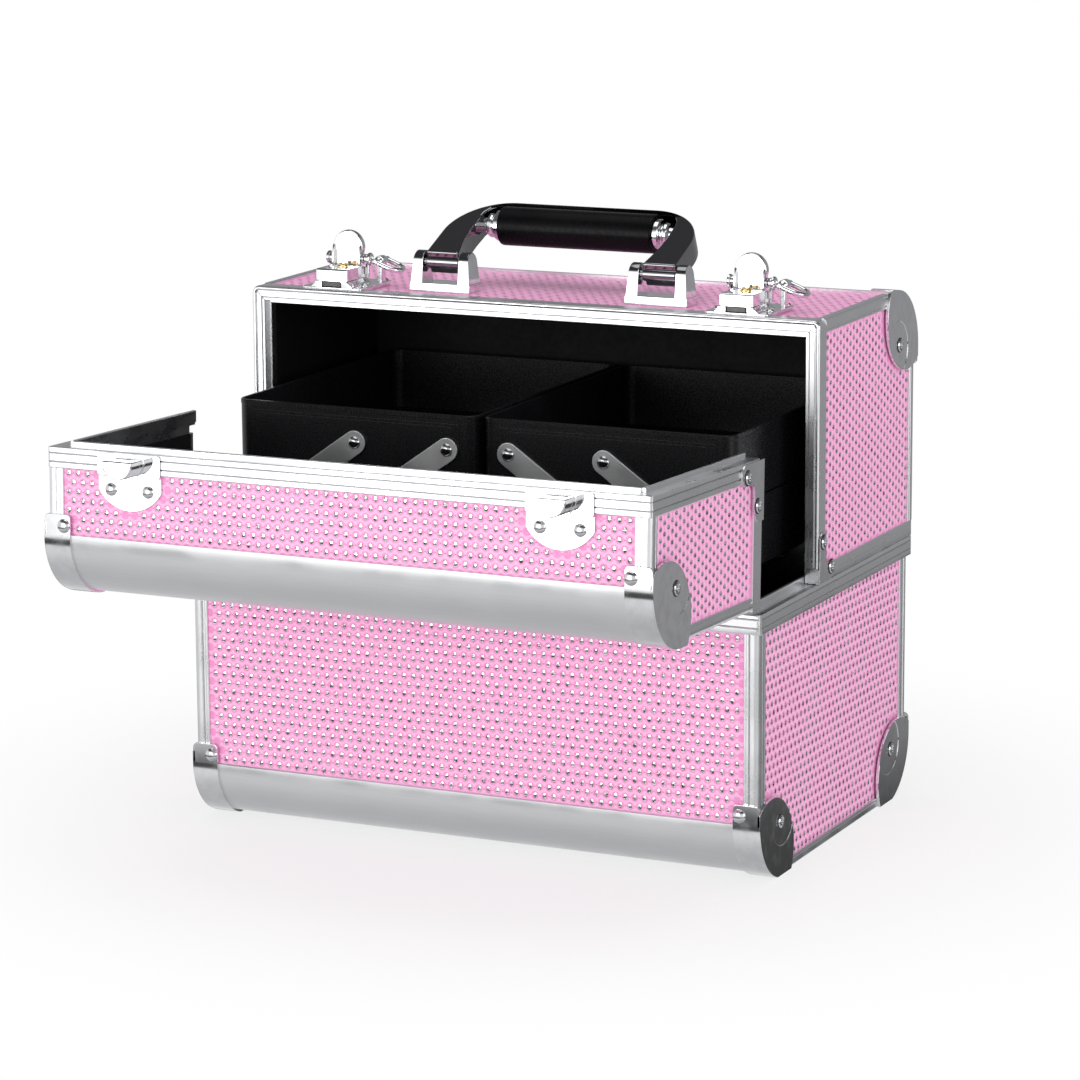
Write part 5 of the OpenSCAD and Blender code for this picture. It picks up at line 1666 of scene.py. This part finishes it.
@dataclass
class Latch(Assembly):
    """One latch: plate, block with lock, and lever on its axle."""

    side: Side
    body: str = field(default="lid", kw_only=True)
    axle_y: float = -6.7
    axle_z: float = 279.6

    @property
    def at(self) -> Matrix:
        """Where the latch stands."""
        return shift(self.side.value * LATCH_X)

    def plate(self) -> None:
        """Plate with a raised channel over the bolt, its walls and its screws."""
        f = self.finishes
        nodes = ("latch_plates", "latch_blocks") if self.side is Side.LEFT else ()
        piece = self.piece(f"latch_{self.side.label}_base", Slot.PLATED, (f.plate, f.dark,
                                                                          f.rivet), *nodes)
        piece.add(slab(rounded(17, 18, 2, 0, -10), Facing.Z, TOP, TOP + 1.2, 0.35, 3), self.at)
        piece.add(brick((-16, -20.7, PANEL_TOP), (16, 7, TOP + 0.4), 0.2), self.at)
        wall = [(5.5, TOP + 0.6), (11.9, TOP + 0.6), (11.4, TOP + 1.7), (10.2, TOP + 2.6),
                (9.4, TOP + 3.4),
                (9.2, TOP + 4.2), (5.5, TOP + 4.2)]
        piece.add(slab(wall, Facing.Y, -27.6, -5.5, 0.3), self.at, self.at @ MIRROR_X)
        piece.add(brick((-8.3, -8.5, TOP + 0.6), (8.3, -5.5, TOP + 4.2), 0.3), self.at)
        lip = [(-9.6, TOP + 3.0), (-6.4, TOP + 3.3), (-5.2, TOP + 4.2), (5.2, TOP + 4.2),
               (6.4, TOP + 3.3),
               (9.6, TOP + 3.0), (9.2, TOP + 4.0), (6.6, TOP + 4.5), (5.2, TOP + 5.1),
               (-5.2, TOP + 5.1),
               (-6.6, TOP + 4.5), (-9.2, TOP + 4.0)]
        piece.add(slab(lip, Facing.Y, -28.4, -27.0, 0.15), self.at)
        # painted shade: a near-black bar at the back of the channel over the bolt
        piece.add(brick((-5.6, -9.2, TOP + 1.1), (5.6, -8.6, TOP + 4.1), 0.1), self.at, finish=1)
        for x, y in ((-13.6, -17.0), (13.6, -17.0), (-13.6, 5.0), (13.6, 5.0)):
            piece.add(Rivet(2.3, 1.3).domed(), self.at @ shift(x, y, TOP + 1.2), finish=2)
        self.block(piece)
        piece.make(30)

    def block(self, piece: Piece) -> None:
        """Adds the block with its lugs, axle and end discs to the base."""
        low, high = TOP + 4.2, TOP + 10.4
        side = [(-27.2, low), (-5.5, low), (-5.5, high - 0.7), (-9.6, high - 0.7), (-10.3, high),
                (-26.6, high),
                (-27.2, high - 0.6)]
        piece.add(slab(side, Facing.X, -9, 9, 0.45, 3), self.at)
        y, z = self.axle_y, self.axle_z
        lug = [(y - 1.2, low), (y + 1.2, low)] + arc(y, z, 2.6, -40, 220, 14)
        piece.add(slab(lug, Facing.X, 9.3, 10.9, 0.3), self.at, self.at @ MIRROR_X)
        piece.add(brick((8.6, y - 3, low), (9.8, -5.6, low + 2), 0.1), self.at, self.at @ MIRROR_X)
        piece.add(rod(1.45, 23.8, 0.3, 24), self.at @ shift(-11.9, y, z) @ turn(90, "Y"))
        disc = turned([(0, -0.4), (2.9, -0.4), (3.3, 0), (3.3, 0.7), (2.9, 1.1), (1.6, 1.2),
                       (1.4, 1.6), (0, 1.6)], 28)
        end = shift(11.3, y, z) @ turn(90, "Y")
        piece.add(disc, self.at @ end, self.at @ MIRROR_X @ end)

    def lever(self) -> None:
        """Domed thumb plate with side skirts, on a barrel."""
        f = self.finishes
        lever = f"latch_lever_{self.side.label}"
        piece = self.piece(f"latch_{self.side.label}_lever", Slot.PLATED, (f.plate,), lever, body=lever)
        place = self.at @ shift(0, self.axle_y, self.axle_z) @ turn(4, "X")
        outline = [(-7.0, -3.2), (7.0, -3.2),
                   (7.5, 1.0)] + arc(0, 6.2, 8.4, -20, 200, 28) + [(-7.5, 1.0)]
        bm = slab(outline, Facing.Y, -2.8, 1.9)
        back = max(bm.faces, key=lambda face: face.normal.y * face.calc_area())
        bmesh.ops.inset_region(bm, faces=[back], thickness=1.2, depth=-2.7)
        for vert in bm.verts:
            if vert.co.y < -2:
                vert.co.y += 0.09 * (vert.co.z + 3.2)
        piece.add(soften(closed(bm), 0.6, 3, 40), place)
        ear = [(-2.0, -3.2), (-2.0, 7.6), (-3.0, 6.6), (-4.2, 4.0), (-5.0, 0.6), (-5.2, -2.0),
               (-4.8, -3.0)]
        piece.add(slab(ear, Facing.X, 7.0, 8.2, 0.3, 2), place, place @ MIRROR_X)
        piece.add(rod(2.5, 17.6, 0.4, 32, 1.56), place @ shift(-8.8) @ turn(90, "Y"))
        piece.make(40)

    def lock(self) -> None:
        """Brass lock with its key slot and two small knobs."""
        f = self.finishes
        nodes = ("lock_cylinders",) if self.side is Side.LEFT else ()
        piece = self.piece(f"latch_{self.side.label}_lock", Slot.LOCK, (f.brass, f.dark), *nodes)
        spot = self.at @ shift(0, -15, TOP + 10.3)
        piece.add(turned([(0, -1.2), (2.9, -1.2), (2.9, 0.5), (2.5, 0.95), (1.9, 1.0), (1.75, 0.65),
                          (0, 0.65)], 32), spot)
        # painted shade: a near-black bar for the depth of the key slot
        piece.add(brick((-1.3, -0.3, 0.5), (1.3, 0.3, 0.72), 0.05), spot, finish=1)
        knob = turned([(0, 0.3), (1.0, 0.3), (1.1, 0.8), (0.95, 1.3), (0.55, 1.7), (0, 1.8)], 20)
        piece.add(knob, spot @ shift(-1.5, 0.9), spot @ shift(1.5, 0.9))
        piece.make(30)

    def build(self) -> None:
        """Makes the latch's pieces."""
        self.plate()
        self.lever()
        self.lock()


@dataclass
class StrapRing(Assembly):
    """Ring for the shoulder strap, in an eye on the lid."""

    side: Side
    x: float
    body: str = field(default="lid", kw_only=True)
    y: float = 0.0
    z: float = 278.0
    wire: float = 1.4
    bar: float = 1.6
    half: float = 6.1
    leg: float = 6.5
    start: float = 0.9
    droop: float = 20.0

    def build(self) -> None:
        """Makes the eye and the ring."""
        f = self.finishes
        label = self.side.label
        nodes = ("strap_ring_eyes",) if self.side is Side.LEFT else ()
        at = shift(self.x, self.y, self.z)
        eye = self.piece(f"strap_eye_{label}", Slot.PLATED, (f.plate, f.rivet), *nodes)
        foot = TOP + 1.0 - self.z
        loop = [(-1.3, foot), (1.3, foot)] + arc(0, 0, 2.8, -60, 240, 20)
        eye.add(slab(loop, Facing.Y, -2.5, 2.5, 0.4), at)
        knob = turned([(0, 0), (1.9, 0), (2.2, 0.5), (2.2, 1.5), (1.6, 2.2), (1.2, 2.5), (1.2, 4.0),
                       (0, 4.2)], 24)
        eye.add(knob, at @ shift(0, -2.3, 0) @ turn(90, "X"))
        eye.make(30)
        name = f"strap_ring_{label}"
        ring = self.piece(f"strap_ring_loop_{label}", Slot.PLATED, (f.plate,), name, body=name)
        half, leg, start = self.half, self.leg, self.start
        loop = [(y - half, z) for y, z in arc(0, 0, self.wire, 0, 330, 11)]
        bow = swept(loop, Facing.X, start, (
            ("go", (leg - start, 0, 0)), ("bend", (leg, 0, 0), (0, 0, 1), 180),
            ("go", (start - leg, 0, 0))))
        drop = at @ turn(self.droop, "Y")
        ring.add(bow, drop)
        reach = half + self.bar
        ring.add(rod(self.bar, 2 * reach, 0.5, 22), drop @ shift(0, -reach) @ turn(-90, "X"))
        ring.make(50)


@dataclass
class Trays(Assembly):
    """Four trays on swinging arms."""

    width: float = 133.8
    length: float = 174.0
    height: float = 34.6
    wall: float = 1.8
    corner: float = 7.0
    first_x: float = 1.4
    pivots: tuple[float, float] = (16.8, 67.8)
    pivot_high: float = 200.1
    pivot_low: float = 150.5
    arm_run: float = 70.8358
    arm_round: float = 6.0

    def tub(self) -> BMesh:
        """One tray about the origin: walls with a rolled lip and a round foot."""
        hx, hy, r = self.width / 2, self.length / 2, self.corner
        bm = bmesh.new()
        loop = rounded(hx - 1.6, hy - 1.6, r - 1.6, steps=8)
        top = [bm.faces.new([bm.verts.new((x, y, 0)) for x, y in loop])]
        rings = ((hx - 0.6, hy - 0.6, r - 0.6, 0.35), (hx - 0.25, hy - 0.25, r - 0.25, 1.4),
                 (hx - 0.25, hy - 0.25, r - 0.25, self.height - 2.6), (hx, hy, r, self.height - 2.2),
                 (hx, hy, r, self.height - 0.5), (hx - 0.4, hy - 0.4, r - 0.4, self.height),
                 (hx - self.wall + 0.3, hy - self.wall + 0.3, r - self.wall + 0.3, self.height),
                 (hx - self.wall, hy - self.wall, r - self.wall, self.height - 0.4),
                 (hx - self.wall - 0.2, hy - self.wall - 0.2, r - self.wall - 0.2, 3.4),
                 (hx - self.wall - 1.6, hy - self.wall - 1.6, r - self.wall - 1.6, self.wall))
        for px, py, pr, pz in rings:
            top = grown(bm, top)[1]
            target = rounded(px, py, pr, steps=8)
            for corner, spot in zip(top[0].verts, self.matched(top[0], target)):
                corner.co = (spot[0], spot[1], pz)
        return closed(bm)

    @staticmethod
    def matched(face: BMFace, target: Loop) -> Loop:
        """Orders an outline's points to follow a face's corners."""
        start = min(range(len(target)), key=lambda i: (face.verts[0].co.xy - Vector(target[i])).length)
        ahead = target[start:] + target[:start]
        behind = [ahead[0]] + ahead[:0:-1]
        mid = len(target) // 4
        near = (face.verts[mid].co.xy - Vector(ahead[mid])).length
        return ahead if near < (face.verts[mid].co.xy - Vector(behind[mid])).length else behind

    def tray(self, side: Side, level: str, low: float, studs: tuple[float, float],
             stud_z: float) -> None:
        """Makes one tray.

        Args:
            side: Which half it is in.
            level: "upper" or "lower".
            low: Height of its underside.
            studs: Where its studs are along X.
            stud_z: Height of its studs.
        """
        f = self.finishes
        name, flip = f"{side.label}_{level}_tray", side.flip
        mid, end = self.first_x + self.width / 2, -self.length / 2
        piece = self.piece(f"{name}_tub", Slot.TRAY, (f.tray, f.stud), name, body=name)
        piece.add(self.tub(), flip @ shift(mid, 0, low))
        for sy in (IDENTITY, MIRROR_Y):
            for inset, depth in ((9.0, 0.28), (13.0, 0.5)):
                outline = rounded(self.width / 2 - inset, self.height / 2 - inset / 2.6, 2.0, mid,
                                  low + self.height / 2 - 1)
                piece.add(slab(outline, Facing.Y, end - depth + 0.25, end + 1.0, 0.12), flip @ sy)
            for x in studs:
                head, shank = (shift(x, end + out, stud_z) @ FACE_FRONT for out in (-1.95, 0.4))
                piece.add(Rivet(3.1, 1.7).domed(), flip @ sy @ head, finish=1)
                piece.add(rod(1.98, 2.6, 0.1, 24), flip @ sy @ shank, finish=1)
        piece.make(30)

    def arms(self, side: Side, which: str, x_up: float) -> None:
        """Makes a pair of arms.

        Args:
            side: Which half it is in.
            which: "inner" or "outer".
            x_up: Where the upper pivot is along X.
        """
        f = self.finishes
        name, flip = f"{side.label}_{which}_arms", side.flip
        x_low, z_up, z_low = x_up + self.arm_run, self.pivot_high, self.pivot_low
        slope = math.degrees(math.atan2(z_low - z_up, x_low - x_up))
        loop = arc(x_up, z_up, self.arm_round, slope + 90, slope + 270, 16)
        loop += arc(x_low, z_low, self.arm_round, slope - 90, slope + 90, 16)
        piece = self.piece(f"{name}_pair", Slot.ARMS, (f.arm, f.steel), name, body=name)
        plate = slab(loop, Facing.Y, -88.75, -87.4, 0.28)
        piece.add(plate, flip, flip @ MIRROR_Y)
        pin = shift(x_low, -88.6, z_low) @ FACE_FRONT
        piece.add(rod(1.99, 2.6, 0.2, 24), flip @ pin, flip @ MIRROR_Y @ pin, finish=1)
        head = shift(x_low, -91.1, z_low) @ FACE_FRONT
        piece.add(Rivet(3.1, 1.5).domed(), flip @ head, flip @ MIRROR_Y @ head, finish=1)
        piece.make(30)

    def build(self) -> None:
        """Makes the trays and arms of both sides."""
        inner, outer = self.pivots
        for side in Side:
            self.tray(side, "upper", 182.8, self.pivots, self.pivot_high)
            self.tray(side, "lower", 147.8, (66.785, 117.785), 165.1)
            self.arms(side, "inner", inner)
            self.arms(side, "outer", outer)


@dataclass
class Hardware(Assembly):
    """Small steel parts: copies of their CAD nodes with rounded edges."""

    nodes: dict

    def build(self) -> None:
        """Makes the hinges, carriers and bolts, and dresses the linings and the floor."""
        f = self.finishes
        for node, body in (("flap_hinge_leaves_fixed", "case"), ("flap_hinge_leaves_moving", "flap"),
                           ("lid_hinge_leaves_fixed", "case"), ("lid_hinge_leaves_moving", "lid"),
                           ("tray_carriers", "case"), ("latch_bolt_left", "latch_bolt_left"),
                           ("latch_bolt_right", "latch_bolt_right")):
            # the bolts get the near-black plating: painted shade of the slot they sit in
            steel = f.bolt if "bolt" in node else f.steel
            piece = self.piece(node + "_steel", Slot.STEEL, (steel,), node, body=body)
            piece.add(traced(self.nodes[node], 0.12, 1)).make(30)
        for node in ("lower_lining", "lid_lining", "flap_lining", "lower_floor"):
            materials = self.nodes[node].data.materials
            materials.clear()
            materials.append(f.floor if node == "lower_floor" else f.lining)


# ---------------------------------------------------------------- studio


@dataclass
class Studio:
    """Pale floor, soft lights and the camera at the photo's angle."""

    azimuth: float = 25.167
    elevation: float = 11.735
    roll: float = -0.365
    offset: tuple[float, float, float] = (7.967, -136.564, 2189.254)
    focal_px: float = 4230.1
    lights: tuple[tuple, ...] = (
        ("key", (-500, -1900, 330), (0, 0, 110), 1100, 900, 11.0),
        ("fill", (1800, -500, 500), (0, 0, 120), 900, 900, 6.0),
        ("top", (0, 0, 1700), (0, 0, 100), 1200, 1200, 7.0),
    )

    def floor(self) -> None:
        """A wide white floor: it takes a faint shadow, is plain white further out,
        and isn't mirrored."""
        bm = bmesh.new()
        bmesh.ops.create_grid(bm, x_segments=1, y_segments=1, size=6.0)
        data = bpy.data.meshes.new("floor")
        bm.to_mesh(data)
        bm.free()
        floor = bpy.data.objects.new("floor", data)
        graph = Graph("studio_floor")
        parts = graph.node("ShaderNodeSeparateXYZ")
        graph.join(graph.spot(), parts.inputs[0])
        x, y = parts.outputs["X"], parts.outputs["Y"]
        squares = (graph.math("MULTIPLY", axis, axis) for axis in (x, y))
        away = graph.math("SQRT", graph.math("ADD", *squares))
        graph.surface(Base_Color=(0.80, 0.80, 0.80, 1.0), Roughness=0.6, Specular_IOR_Level=0.2)
        white = graph.light((1.0, 1.0, 1.0), 1.0)
        seen = graph.blend(graph.ramp(away, 0.16, 0.40, 0.72, 1.0), graph.shader.outputs[0], white)
        path = graph.node("ShaderNodeLightPath")
        through = graph.node("ShaderNodeBsdfTransparent").outputs[0]
        shown = graph.blend(path.outputs["Is Glossy Ray"], seen, through)
        graph.join(shown, graph.output.inputs["Surface"])
        data.materials.append(graph.material)
        bpy.context.scene.collection.objects.link(floor)

    def world(self) -> None:
        """White to the camera, even light for diffuse surfaces, a room in reflections."""
        world = bpy.data.worlds.new("room")
        bpy.context.scene.world = world
        nodes = Nodes(world, "ShaderNodeOutputWorld")
        parts = nodes.node("ShaderNodeSeparateXYZ")
        nodes.join(nodes.node("ShaderNodeTexCoord").outputs["Generated"], parts.inputs[0])
        x, y, z = (parts.outputs[axis] for axis in "XYZ")
        front = nodes.math("SUBTRACT", nodes.math("MULTIPLY", x, -0.35), y)
        wall = nodes.ramp(front, -0.45, 0.15, (0.30, 0.30, 0.31), (1.0, 1.0, 1.0))
        roof = nodes.ramp(z, 0.35, 0.62, wall, (0.10, 0.10, 0.105))
        ground = nodes.ramp(z, -0.95, -0.45, (0.50, 0.50, 0.51), (0.76, 0.76, 0.77))
        room = nodes.ramp(z, -0.42, -0.38, ground, nodes.ramp(z, -0.27, -0.23, (0.05, 0.05, 0.05),
                                                              roof))
        mirrored = nodes.light(room, 1.0, True)
        path = nodes.node("ShaderNodeLightPath")
        even = nodes.light((0.99, 0.99, 1.0), 0.74, True)
        white = nodes.light((1.0, 1.0, 1.0), 1.0, True)
        shown = nodes.blend(path.outputs["Is Glossy Ray"], even, mirrored)
        nodes.join(nodes.blend(path.outputs["Is Camera Ray"], shown, white),
                   nodes.output.inputs["Surface"])

    def lamps(self) -> None:
        """Large soft area lights."""
        for name, spot, target, width, height, power in self.lights:
            data = bpy.data.lights.new(name, "AREA")
            data.shape = "RECTANGLE"
            data.size, data.size_y, data.energy = width * MM, height * MM, power
            lamp = bpy.data.objects.new(name, data)
            lamp.location = Vector(spot) * MM
            lamp.rotation_mode = "QUATERNION"
            lamp.rotation_quaternion = (Vector(target) - Vector(spot)).to_track_quat("-Z", "Y")
            bpy.context.scene.collection.objects.link(lamp)

    def camera(self) -> None:
        """The camera that was fitted to the photo."""
        a, e, r = (math.radians(v) for v in (self.azimuth, self.elevation, self.roll))
        back = Vector((math.sin(a) * math.cos(e), -math.cos(a) * math.cos(e), math.sin(e)))
        right = (-back).cross(Vector((0, 0, 1))).normalized()
        up = right.cross(-back)
        spin = Matrix.Rotation(r, 3, back)
        right, up = spin @ right, spin @ up
        centre = -(right * self.offset[0] + up * self.offset[1] - back * self.offset[2])
        data = bpy.data.cameras.new("photo_view")
        data.sensor_width = 36.0
        data.lens = self.focal_px / 1080 * 36.0
        data.clip_start, data.clip_end = 0.05, 40.0
        camera = bpy.data.objects.new("photo_view", data)
        camera.matrix_world = Matrix((
            (right.x, up.x, back.x, centre.x * MM), (right.y, up.y, back.y, centre.y * MM),
            (right.z, up.z, back.z, centre.z * MM), (0, 0, 0, 1)))
        bpy.context.scene.collection.objects.link(camera)
        bpy.context.scene.camera = camera

    def build(self) -> None:
        """Makes the floor, the light and the camera."""
        bpy.context.scene.view_settings.view_transform = "Standard"
        self.floor()
        self.world()
        self.lamps()
        self.camera()


def main() -> None:
    """Builds the case in order and reports each piece."""
    logging.basicConfig(level=logging.INFO, format="%(message)s")
    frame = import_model()
    finishes = Finishes()
    LowerBody(finishes).build()
    Lid(finishes).build()
    Flap(finishes).build()
    Handle(finishes).build()
    for side in Side:
        Latch(finishes, side).build()
    for side, x in ((Side.LEFT, -97.0), (Side.RIGHT, 126.0)):
        StrapRing(finishes, side, x).build()
    Trays(finishes).build()
    Hardware(finishes, frame["nodes"]).build()
    Studio().build()


if __name__ == "__main__":
    main()
